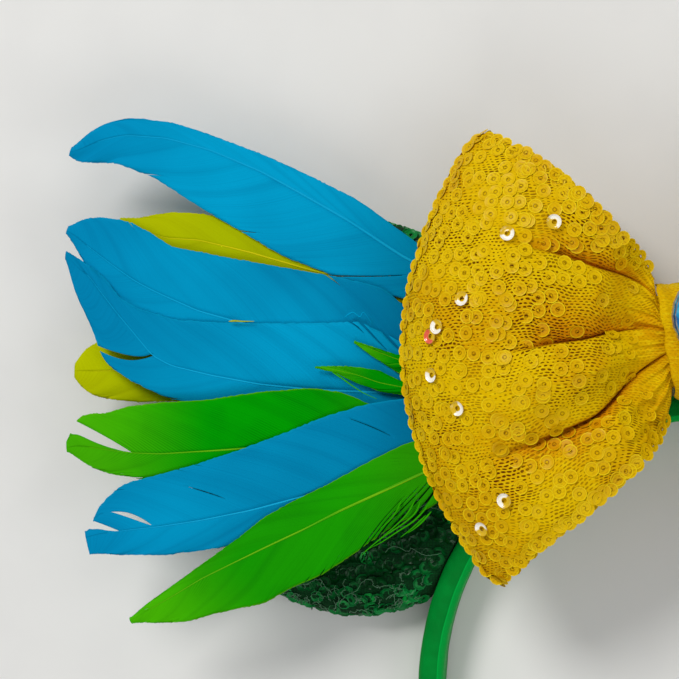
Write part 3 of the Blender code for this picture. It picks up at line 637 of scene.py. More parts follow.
knot = {
    "halfHeight": 0.0126, "crown": 0.0012, "depth": 0.0277, "wall": 0.0015, "topHalfWidth": 0.0136,
    "bottomHalfWidth": 0.0092, "middleY": 0.0800, "middleZ": 0.02615, "squareness": 3.2, "gap": 0.0003,
    "neckGap": 0.0005, "foldHeight": 0.00045, "turns": 160, "places": 61,
    "lips": [(0.965, -0.7), (0.90, -1.0)],        # both edges turned in: place across, share of the wall
    "strip": (0.030, 0.100),                      # width and length of the flat strip
}
bow = {
    "reach": 0.0632, "cornerReach": 0.0042, "puff": 0.0240, "focus": 0.0060, "drop": 0.0020,
    "lowerAngle": radians(-51.0), "upperAngle": radians(46.5), "upperBulge": 0.0050, "lowerBulge": 0.0052,
    "edgeDrop": 0.28, "back": 0.0123, "seat": 0.0241, "rowSteps": 5, "acrossSteps": 230,
    "pleatDepth": 0.0042, "pleatHalfWidth": 0.15, "backPleatShare": 0.3,
    "foldDepth": 0.0042, "foldStep": 0.016, "foldLap": 0.0018, "cornerBlunt": 0.0014,
    # places across the cloth at the knot, at a third and further out, depth, where it fades, side of the
    # valley and how far its shade spreads
    "pleats": [(0.39, 0.25, 0.255, 1.00, 0.80, -1, 0.075), (0.59, 0.50, 0.465, 0.80, 0.62, 1, 0.170),
               (0.87, 0.815, 0.755, 0.75, 0.72, 1, 0.105)],
    # the cloth's way out and back: reach, share of the step up to the front, share of the puff, side it faces
    "section": [(-0.17, .60, .60, 1), (0, .62, .62, 1), (.10, .76, .76, 1), (.22, .90, .90, 1),
                (.36, 1, .97, 1), (.52, 1, 1, 1), (.70, 1, .92, 1), (.85, 1, .74, 1), (.955, 1, .53, .6),
                (1, 1, .33, 0), (.96, 1, .15, -.6), (.85, 1, .03, -1), (.70, 1, 0, -1), (.56, .95, 0, -1),
                (.43, .50, 0, -1), (.29, 0, 0, -1), (.13, 0, 0, -1), (0, .15, 0, -1), (-.17, .23, 0, -1)],
    "holePitch": (0.00116, 0.00072), "holeHalf": (0.44, 0.17), "knotHoles": 0.22,
    "rootSwell": (0.0022, 0.0026),                # lower and upper edge beside the knot
    "hemShares": (0.004, 0.996), "hemRadius": 0.00028, "hemInset": 0.00034, "hemPoints": 170,
    "sequinRadius": 0.00165, "sequinHole": 0.00036, "sequinCup": 0.00011, "sequinRise": 0.00005,
    "sequinAlong": 0.0033, "sequinAcross": 0.0036, "edgeSequins": 0.0029, "edgeShares": (0.003, 0.997),
    "rimRow": 8.75, "rimLean": 0.10, "rimStep": 0.0255,  # sequins round the outer fold
    # sequins painted with a white glint, and one painted with a pink glint
    "glints": [(-0.0447, 0.1030), (-0.0342, 0.1055), (-0.0553, 0.0894), (-0.0603, 0.0832), (-0.0612, 0.0726),
               (-0.0566, 0.0656), (-0.0449, 0.0461), (-0.0514, 0.0391)],
    "pinkGlint": (-0.0625, 0.0812),
    "glintTurns": (2.4, -1.9, 2.2, 0.9, 1.2, 2.6, -1.0, -2.0, 0.4), "glintRise": 0.0006, "glintCup": 0.0004,
    "glintRoom": 0.0027,
    "netColour": rgb(220, 180, 0), "netShade": rgb(200, 142, 0), "holeColour": rgb(98, 44, 0),
    # painted shade for the fold valleys and the crease lines
    "valleyShadeColour": rgb(198, 92, 0), "creaseShadeColour": rgb(132, 44, 0),
    "sequinRim": rgb(246, 226, 24), "glintColour": rgb(255, 252, 244), "pink": rgb(232, 96, 66),
}


def knotHalfWidth(y):
    share = np.clip((y - knot["middleY"] + knot["halfHeight"]) / (2 * knot["halfHeight"]), 0, 1)
    return blend(knot["bottomHalfWidth"], knot["topHalfWidth"], share)


def pleatShares(across, reach):
    # how far the pleats draw the cloth in, then the shares of crease line, of valley and of overlap
    inset, line, valley, lap = 0.0, 0.0, 0.0, 0.0
    for atKnot, atThird, further, depth, fade, way, wide in bow["pleats"]:
        near = blend(atKnot, atThird, ease(np.maximum(reach, 0) * 3))
        place = np.where(reach < 1 / 3, near, blend(atThird, further, np.clip((reach - 1 / 3) * 1.5, 0, 1)))
        strength = blend(0.30, 1.0, ease(reach * 3.6)) * (1.0 - ease((reach - 0.3) / (fade - 0.3)))
        away = np.abs(across - place) / bow["pleatHalfWidth"]
        inset = inset + depth * strength * np.maximum(1.0 - away, 0.0) ** 2
        past = (across - place) * way              # positive on the side of the valley
        sharp = depth * blend(0.45, 1.0, ease(reach * 4)) * (1.0 - ease((reach - 0.36) / (fade - 0.30)))
        valley = valley + sharp * ease(past / bow["foldStep"]) * np.exp(-(np.maximum(past, 0) / wide) ** 1.6)
        line = line + sharp * np.exp(-((past - 0.008) / 0.0095) ** 2)
        lap = lap + sharp * way * np.exp(-(past / 0.022) ** 2)
    return inset * bow["pleatDepth"], np.clip(line, 0, 1), np.clip(valley, 0, 1), lap


def loopSurface(rows, across, folds=True):
    # points of the left loop, arrays of a place down the section table and a share across the cloth
    reach, stepUp, puff, face = tableAt(bow["section"], rows).T
    face = np.clip(face, -1, 1)
    spreadOut = 0.92 * (2 * across - 1)
    power = knot["squareness"]
    dropOff = (1.0 - np.abs(spreadOut) ** power) ** (1 / power)
    neckY = knot["middleY"] + spreadOut * (knot["halfHeight"] - knot["wall"] - knot["neckGap"])
    halfDepth = knot["depth"] / 2 - knot["wall"] - knot["neckGap"] - knot["crown"] * (face > 0)
    neckZ = knot["middleZ"] + face * halfDepth * dropOff
    rootX = -knotHalfWidth(neckY) - knot["gap"]
    angle = blend(bow["lowerAngle"], bow["upperAngle"], across)
    far = bow["reach"] + bow["cornerReach"] * np.abs(2 * across - 1) ** 3
    far = far - bow["cornerBlunt"] * ease((np.abs(2 * across - 1) - 0.93) / 0.07)
    outerX = -bow["focus"] - far * np.cos(angle)
    outerY = knot["middleY"] - bow["drop"] + far * np.sin(angle)
    x = np.where(reach < 0, rootX * (1 + reach / 0.2), blend(rootX, outerX, reach))
    y = np.where(reach < 0, neckY, blend(neckY, outerY, reach))
    side = 2 * across - 1
    edgeX, edgeY = outerX - rootX, outerY - neckY
    length = np.hypot(edgeX, edgeY)
    outX = np.where(side > 0, edgeY, -edgeY) / length
    outY = np.where(side > 0, -edgeX, edgeX) / length
    inner = np.clip(reach, 0, 1)
    bulge = (bow["upperBulge"] * np.maximum(side, 0) ** 2 * 4 * inner * (1 - inner)
             + bow["lowerBulge"] * np.maximum(-side, 0) ** 2 * 6.75 * inner * (1 - inner) ** 2)
    x, y = x + outX * bulge, y + outY * bulge
    swell = np.where(side > 0, bow["rootSwell"][1], bow["rootSwell"][0]) * side * side * np.sign(side)
    y = y + swell * ease(reach / 0.02) * (1 - ease((reach - 0.06) / 0.34)) * np.clip(face, 0, 1)
    puff = np.where(face > 0, blend(puff, 0.35, bow["edgeDrop"] * np.abs(side) ** 2.5), puff)
    billow = bow["back"] + stepUp * (bow["seat"] - bow["back"]) + puff * bow["puff"]
    z = blend(neckZ, billow, ease(reach / 0.26))
    inset, _, valley, lap = pleatShares(across, reach)
    z = z - np.where(face > 0, face, face * bow["backPleatShare"]) * inset
    if folds:
        front = np.clip(face, 0, 1)
        shown = ease(reach / 0.12 + 0.35) * front
        z = z - valley * bow["foldDepth"] * shown
        y = y + lap * bow["foldLap"] * shown
        gather = np.sin(across * 2 * pi * 11 + 2.2 * np.sin(across * 9)) * 0.00036
        gather += np.sin(across * 2 * pi * 23 + 1.0 + reach * 6) * 0.00014
        z = z + gather * (1 - ease(reach / 0.42)) * np.clip(np.abs(face), 0, 1)
        dents = np.array([noise.noise(Vector((a * 60, b * 60, 4.0))) for a, b in zip(x, y)])
        z = z + dents * 0.0012 * ease((reach - 0.15) / 0.4) * front
        scallop = np.sin(np.clip(reach, 0, 1) * 88 + 1) * 0.00022 * np.abs(side) ** 12
        y = y + scallop * np.sign(side)
    return np.stack([x, y, np.maximum(z, bow["back"])], axis=-1)


def foldTones(rows, across):
    # shares of crease line and of valley, which carry the painted crease and valley shade, and of how open
    # the net's holes show
    reach = tableAt(bow["section"], rows)[:, 0]
    line, valley = pleatShares(across, reach)[1:3]
    return np.stack([line, valley, blend(0.45, 1.0, ease(reach / 0.40))], axis=1)


def loopAxes(rows, across):
    # directions along the cloth, across it and out of it
    step = 0.01
    along = loopSurface(rows + step, across, False) - loopSurface(rows - step, across, False)
    upper, lower = np.minimum(across + step, 0.999), np.maximum(across - step, 0.001)
    over = loopSurface(rows, upper) - loopSurface(rows, lower)
    normal = np.cross(over, along)
    return [axis / (np.linalg.norm(axis, axis=1)[:, None] + 1e-12) for axis in (along, over, normal)]


def netPattern(tree):
    # colour of the cloth without its holes, the share of hole at each place, and the piece's tones
    drift = addNode(tree, "ShaderNodeTexNoise",
                    {"Vector": clothPlace(tree, 150, 150), "Scale": 1.0, "Detail": 3.0}).outputs[1]
    shifted = addNode(tree, "ShaderNodeVectorMath", {0: drift, 1: (0.5, 0.5, 0.5)}, operation="SUBTRACT")
    scaled = addNode(tree, "ShaderNodeVectorMath", {0: shifted.outputs[0], 3: 0.0030}, operation="SCALE")
    place = addNode(tree, "ShaderNodeVectorMath", {0: clothPlace(tree), 1: scaled.outputs[0]},
                    operation="ADD").outputs[0]
    parts = addNode(tree, "ShaderNodeSeparateXYZ", {0: place}).outputs
    pitchAlong, pitchAcross = bow["holePitch"]
    halfAlong, halfAcross = bow["holeHalf"]
    line = compute(tree, "DIVIDE", parts[1], pitchAcross)
    lineNumber = compute(tree, "FLOOR", line)
    offset = times(tree, compute(tree, "MODULO", lineNumber, 2.0), 0.5)
    cell = compute(tree, "ADD", compute(tree, "DIVIDE", parts[0], pitchAlong), offset)
    alongHole = compute(tree, "ABSOLUTE", compute(tree, "SUBTRACT", compute(tree, "FRACT", cell), 0.5))
    acrossHole = compute(tree, "ABSOLUTE", compute(tree, "SUBTRACT", compute(tree, "FRACT", line), 0.5))
    alongShare = compute(tree, "DIVIDE", alongHole, halfAlong * 0.82)
    acrossShare = compute(tree, "DIVIDE", acrossHole, halfAcross * 1.45)
    far = compute(tree, "SQRT", compute(tree, "ADD", times(tree, alongShare, alongShare),
                                        times(tree, acrossShare, acrossShare)))
    patches = spots(tree, 210, 4.0, 0.6)
    size = spread(tree, patches, 0.34, 0.66, 0.58, 1.22)
    hole = spread(tree, compute(tree, "DIVIDE", far, size), 0.70, 1.10, 1.0, 0.0)
    broad = spots(tree, 70, 3.0)
    hole = times(tree, hole, spread(tree, spots(tree, 48, 2.0), 0.40, 0.60, 0.50, 1.0))
    colour = mixColour(tree, spread(tree, broad, 0.38, 0.68, 0.0, 0.75), bow["netColour"], bow["netShade"])
    tones = toneOf(tree)
    # painted shade in the fold valleys, partly the deeper orange of the net where it doubles up
    colour = tinted(tree, colour, bow["valleyShadeColour"], tones[1], 0.04, 0.85, 0.0, 0.85)
    return colour, hole, patches, tones


def netMaterial():
    material, tree, shader = newMaterial("yellowNet", Roughness=0.70, Sheen_Weight=0.04, Sheen_Roughness=0.45,
                                         Specular_IOR_Level=0.03)
    shader.inputs["Sheen Tint"].default_value = rgb(255, 214, 20)
    colour, hole, patches, tones = netPattern(tree)
    strands = spots(tree, 1.0, 2.0, 0.5, place=clothPlace(tree, 420, 3000))
    colour = tinted(tree, colour, bow["sequinRim"], strands, 0.45, 0.7, 0.0, 0.35)
    colour = mixColour(tree, times(tree, hole, tones[2]), colour, bow["holeColour"])
    # painted shade along each crease line
    colour = tinted(tree, colour, bow["creaseShadeColour"], tones[0], 0.25, 0.95, 0.0, 0.9)
    finished(tree, shader, colour)
    height = compute(tree, "SUBTRACT", times(tree, patches, 0.4), times(tree, hole, tones[2]))
    bumped(tree, shader, compute(tree, "ADD", height, times(tree, strands, 0.5)), 0.75, 0.00026)
    return material


def bowSequinMaterial():
    # clear discs, so that the net's colour and a little of its holes show through; the third tone is the
    # share of the way out to the rim
    material, tree, shader = newMaterial("clearYellowSequin", Roughness=0.40, Coat_Weight=0.02,
                                         Coat_Roughness=0.2, Specular_IOR_Level=0.05)
    colour, hole, patches, tones = netPattern(tree)
    colour = mixColour(tree, 0.12, colour, bow["sequinRim"])
    colour = mixColour(tree, times(tree, hole, 0.30), colour, bow["holeColour"])
    # painted highlight on each disc's rim, painted shade on its ring and round its hole
    rim = times(tree, spread(tree, tones[2], 0.74, 0.90), spread(tree, patches, 0.30, 0.62, 0.15, 0.80))
    colour = mixColour(tree, rim, colour, bow["sequinRim"])
    colour = tinted(tree, colour, bow["netShade"], tones[2], 0.56, 0.70, 0.0, 0.28)
    colour = tinted(tree, colour, bow["holeColour"], tones[2], 0.02, 0.20, 0.75, 0.0)
    finished(tree, shader, colour, spread(tree, patches, 0.0, 1.0, 0.30, 0.46))
    bumped(tree, shader, patches, 0.12, 0.0002)
    return material


def glintMaterial():
    # tones: the share of painted glint at each place, and how pink it is
    material, tree, shader = newMaterial("glintSequin", Roughness=0.18, Coat_Weight=0.3,
                                         Specular_IOR_Level=0.6)
    film = spots(tree, 700, 2.0)
    light, pinkness = toneOf(tree)[:2]
    bright = tinted(tree, bow["glintColour"], rgb(236, 226, 190), film, 0.35, 0.7, 0.0, 0.5)
    bright = mixColour(tree, pinkness, bright, bow["pink"])
    colour = mixColour(tree, spread(tree, light, 0.30, 0.55), bow["netColour"], bright)
    finished(tree, shader, colour, spread(tree, film, 0.3, 0.7, 0.12, 0.28))
    return material


def sequinPlaces(rng, run, rowCount, acrossCount):
    # (row, share across, lean) of each sequin: jittered rows over the cloth, then both edges
    places = []
    last = len(bow["section"]) - 1
    middleRun = run[:, acrossCount // 2]
    inside, edgeRows = np.linspace(0.012, 0.988, 60), np.linspace(1.6, 15, 300)
    for number in range(int(middleRun[-1] / bow["sequinAlong"])):
        row = np.interp((number + 0.5) * bow["sequinAlong"], middleRun, np.linspace(0, last, rowCount))
        if row < 1.9 or row > last - 2.2:
            continue
        line = loopSurface(np.full(60, row), inside)
        lengths = runAlong(line)
        count = max(int(lengths[-1] / bow["sequinAcross"]), 2)
        for index in range(count + 1):
            share = (index + 0.5 * (number % 2) * (0 < index < count) + rng.normal(0, 0.16)) / count
            across = np.interp(np.clip(share, 0, 1) * lengths[-1], lengths, inside)
            kept = 0.93 if row > 4.4 or across < 0.2 or across > 0.93 else 0.42  # fewer on the pleated part
            if rng.random() < kept:
                places.append((row + rng.normal(0, 0.11), across, 0.025))
    for share in bow["edgeShares"]:
        line = loopSurface(edgeRows, np.full(300, share))
        lengths = runAlong(line)
        for far in np.arange(0.001, lengths[-1], bow["edgeSequins"]):
            row = np.interp(far + rng.normal(0, 0.0003), lengths, edgeRows)
            places.append((row, share + rng.normal(0, 0.0012), 0.08))
    for across in np.arange(0.012, 0.99, bow["rimStep"]):
        places.append((bow["rimRow"] + rng.normal(0, 0.12), across + rng.normal(0, 0.003), bow["rimLean"]))
    places = np.array(places)
    places[:, 1] = np.clip(places[:, 1], 0.001, 0.999)
    line = pleatShares(places[:, 1], tableAt(bow["section"], places[:, 0])[:, 0])[1]
    inFold = (line > 0.30) & (places[:, 0] < 7.5)
    return places[~inFold]


def makeHem(label, side, net):
    # the raw edge rolled under once, above and below
    edges = Gathered()
    for share in bow["hemShares"]:
        rows = np.linspace(1.2, len(bow["section"]) - 3.4, bow["hemPoints"])
        shares = np.full(bow["hemPoints"], share)
        path = loopSurface(rows, shares) - loopAxes(rows, shares)[2] * bow["hemInset"]
        # the hem takes a little of the painted valley shade
        edges.add(*tubeOnSide(path, side, bow["hemRadius"], 6), tone=(0.0, 0.2, 0.3),
                  cloth=tubeCloth(np.arange(bow["hemPoints"]) * 0.0009, 6, 0.0004))
    return edges.piece("bow" + label + "Hem", net, slot="bow_net")


def litSequins(places, spotsAt):
    # which sequins get a painted glint: those nearest to where the photograph shows them
    lit = {}
    for number, (x, y) in enumerate(bow["glints"] + [bow["pinkGlint"]]):
        away = np.hypot(spotsAt[:, 0] - x, spotsAt[:, 1] - y)
        away = away + (places[:, 0] > 8) + np.isin(np.arange(len(places)), list(lit))
        lit[int(np.argmin(away))] = (x, y, number)
    return lit


def sewBowSequins(label, side, sequin, glint, points, flat):
    # most lie flat on the net, and a few carry a painted glint
    rng = np.random.default_rng(77 if side < 0 else 78)
    last, (rowCount, acrossCount) = len(bow["section"]) - 1, flat.shape[:2]
    places = sequinPlaces(rng, flat[..., 0], rowCount, acrossCount)
    spotsAt = loopSurface(places[:, 0], places[:, 1])
    along, beside, normals = loopAxes(places[:, 0], places[:, 1])
    tones = foldTones(places[:, 0], places[:, 1])
    gridRow = np.clip(np.round(places[:, 0] / last * (rowCount - 1)).astype(int), 0, rowCount - 1)
    gridAcross = np.clip(np.round(places[:, 1] * (acrossCount - 1)).astype(int), 0, acrossCount - 1)
    lit = litSequins(places, spotsAt)
    shape, shapeFaces, shares = sequinShape(bow["sequinRadius"], bow["sequinHole"], bow["sequinCup"])
    fine, fineFaces, fineShares = sequinShape(bow["sequinRadius"] * 0.98, bow["sequinHole"] * 1.5,
                                              bow["glintCup"], 24)
    plain, shiny = Gathered(), Gathered()
    litPlaces = spotsAt[list(lit)]
    front = points[:int(8.2 * bow["rowSteps"])].reshape(-1, 3)
    for index, (place, normal) in enumerate(zip(spotsAt, normals)):
        if index not in lit and np.linalg.norm(litPlaces - place, axis=1).min() < bow["glintRoom"]:
            continue
        if places[index, 2] == bow["rimLean"]:     # these face forward and stand out past the fold
            normal = normal + (0, 0, 1.3)
            place = place - (normals[index][0] * 0.0005, normals[index][1] * 0.0005, -0.0003)
        normal = unit(normal + rng.normal(0, places[index, 2], 3))
        first = unit(along[index] - normal * (along[index] @ normal))
        second = np.cross(normal, first)
        hand = 1.0 if second @ beside[index] > 0 else -1.0
        if index in lit:
            x, y, number = lit[index]
            nearest = np.argmin(np.hypot(front[:, 0] - x, front[:, 1] - y))
            place = front[nearest] + (0, 0, bow["glintRise"])
            turn = np.arctan2(fine[:, 1], fine[:, 0]) - bow["glintTurns"][number]
            placed = place + fine[:, :1] * first + fine[:, 1:2] * second + fine[:, 2:] * normal
            # the white crescent is a painted glint
            light = np.clip(0.55 + 0.75 * np.cos(turn), 0, 1) * (fineShares > 0.10)
            pink = np.full(len(fine), 1.0 if number == len(bow["glints"]) else 0.0)
            shiny.add(onSide(placed, side), turned(fineFaces, side),
                      tone=np.stack([light, pink, fineShares], axis=1))
            continue
        placed = (place + normal * bow["sequinRise"] + shape[:, :1] * first + shape[:, 1:2] * second
                  + shape[:, 2:] * normal)
        placed[:, 2] = np.maximum(placed[:, 2], bow["back"] + 0.0001)
        flatAt = flat[gridRow[index], gridAcross[index]] + shape[:, :2] * (1.0, hand)
        # the sequins take the painted valley shade of the net under them
        tone = np.column_stack([np.tile(tones[index, :2], (len(shape), 1)), shares])
        plain.add(onSide(placed, side), turned(shapeFaces, side), cloth=flatAt, tone=tone)
    return (plain.piece("bow" + label + "Sequins", sequin, slot="bow_net"),
            shiny.piece("bow" + label + "BrightSequins", glint, slot="bow_net"))


def makeLoop(label, side, net, sequin, glint):
    last = len(bow["section"]) - 1
    rowCount, acrossCount = last * bow["rowSteps"] + 1, bow["acrossSteps"] + 1
    rows, across = np.meshgrid(np.linspace(0, last, rowCount), np.linspace(0, 1, acrossCount), indexing="ij")
    points = loopSurface(rows.ravel(), across.ravel()).reshape(rowCount, acrossCount, 3)
    downSteps = np.linalg.norm(np.diff(points, axis=0), axis=2)
    overSteps = np.linalg.norm(np.diff(points, axis=1), axis=2)
    run = np.vstack([np.zeros(acrossCount), np.cumsum(downSteps, axis=0)])
    over = np.hstack([np.zeros((rowCount, 1)), np.cumsum(overSteps, axis=1)])
    over = over - over[:, acrossCount // 2][:, None] + 0.2
    flat = np.stack([run, over], axis=-1)
    tones = foldTones(rows.ravel(), across.ravel())
    faces = gridFaces(rowCount, acrossCount)
    cloth = addPiece("bow" + label + "Net", onSide(points.reshape(-1, 3), side), turned(faces, -side), net,
                     cloth=flat.reshape(-1, 2), tone=tones, slot="bow_net",
                     stands=["bow_loop_" + label.lower()])
    hem = makeHem(label, side, net)
    sewn, turnedOnes = sewBowSequins(label, side, sequin, glint, points, flat)


def makeKnot(net):
    # the strip round the gathers, open at both sides, with soft folds that run round it
    turns, lips, power = knot["turns"], knot["lips"], knot["squareness"]
    ring = [(-place, inside) for place, inside in lips[::-1]]
    ring += [(place, 0.0) for place in np.linspace(-1, 1, knot["places"])] + lips
    points, flat = [], []
    for step in range(turns):
        angle = 2 * pi * step / turns
        out, up = cos(angle), sin(angle)
        stretch = (abs(out) ** power + abs(up) ** power) ** (-1 / power)
        out, up = out * stretch, up * stretch
        for place, inside in ring:
            crown = max(1.0 - abs(place) ** 2.6, 0.0)
            drift = 0.12 * sin(angle * 2 + 1) + 0.06 * sin(angle * 5)
            folds = (np.sin(place * 10.5 + drift * 5) * 0.50 + np.sin(place * 27 + drift * 14) * 0.30
                     + noise.noise(Vector((place * 3, angle * 1.2, 5.0))) * 0.9)
            edgeFolds = np.sin(abs(place) * 58 + drift * 20 * np.sign(place)) * 0.35
            edgeFolds *= ease((abs(place) - 0.62) * 4)
            swell = crown * knot["crown"] + (folds + edgeFolds) * knot["foldHeight"] * (1 - abs(place) ** 8)
            swell += inside * knot["wall"] * 0.75
            y = knot["middleY"] + out * (knot["halfHeight"] + swell - 0.7 * crown * knot["crown"])
            flattened = knot["crown"] if up > 0 else 0.0
            z = knot["middleZ"] + up * (knot["depth"] / 2 - flattened + swell)
            wander = (0.0004 * noise.noise(Vector((angle * 2.0, place, 9.0)))
                      + 0.00018 * sin(angle * 13 + 2)) * abs(place) ** 4
            points.append((place * knotHalfWidth(y) + wander, y, max(z, bow["back"] - 0.0001)))
            flat.append((place * 0.0125 + 0.3, step * 0.00052))
    count = len(ring)
    points, flat = np.array(points), np.array(flat)
    faces = gridFaces(turns, count)
    faces += [(corner + (turns - 1) * count, corner + 1 + (turns - 1) * count, corner + 1, corner)
              for corner in range(count - 1)]
    # a trace of the painted valley shade over the knot
    tone = np.tile((0.0, 0.05, bow["knotHoles"]), (len(points), 1))
    return addPiece("bowKnotStrip", toFrame(points), [face[::-1] for face in faces], net, cloth=flat,
                    tone=tone, slot="bow_net", stands=["bow_knot"])


net, bowSequin, glint = netMaterial(), bowSequinMaterial(), glintMaterial()
for label, side in sideNames:
    makeLoop(label, side, net, bowSequin, glint)
knotStrip = makeKnot(net)
print("bow made")


# Gem and its rim keep their solids and get their finishes here

gem = {
    "colour": rgb(0, 160, 214), "deepColour": rgb(0, 108, 176), "flashColour": rgb(120, 232, 250),
    "rimColour": rgb(228, 230, 232),
}


def gemMaterial():
    material, tree, shader = newMaterial("blueStone", Roughness=0.08, Metallic=0.10, Coat_Weight=0.6,
                                         Coat_Roughness=0.04)
    # facets painted deeper or paler by the way they face: painted flashes and shade
    facing = addNode(tree, "ShaderNodeNewGeometry").outputs["True Normal"]
    parts = addNode(tree, "ShaderNodeSeparateXYZ", {0: facing}).outputs
    turn = compute(tree, "ARCTAN2", parts[1], parts[0])
    flash = compute(tree, "SINE", times(tree, turn, 5.0))
    tilt = times(tree, compute(tree, "SINE", times(tree, parts[2], 31.0)), 0.5)
    share = spread(tree, compute(tree, "ADD", flash, tilt), -1.1, 1.2)
    colour = mixColour(tree, share, gem["deepColour"], gem["colour"])
    colour = tinted(tree, colour, gem["flashColour"], share, 0.80, 0.98, 0.0, 0.7)
    # pale spots: painted sparkle
    colour = tinted(tree, colour, gem["flashColour"], spots(tree, 300, 2.0), 0.45, 0.68, 0.0, 0.45)
    finished(tree, shader, colour, spread(tree, spots(tree, 500, 2.0), 0.3, 0.7, 0.05, 0.12))
    return material


def silverMaterial():
    material, tree, shader = newMaterial("silverRim", Metallic=1.0, Roughness=0.2)
    rub = spots(tree, 900, 3.0)
    colour = tinted(tree, gem["rimColour"], rgb(176, 180, 184), rub, 0.4, 0.7)
    finished(tree, shader, colour, spread(tree, rub, 0.3, 0.7, 0.14, 0.30))
    bumped(tree, shader, rub, 0.08, 0.0001)
    return material


for node, finish in (("gem", gemMaterial()), ("gem_rim", silverMaterial())):
    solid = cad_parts[node]
    solid.data.materials.clear()
    solid.data.materials.append(finish)
print("gem finished")


# Feathers

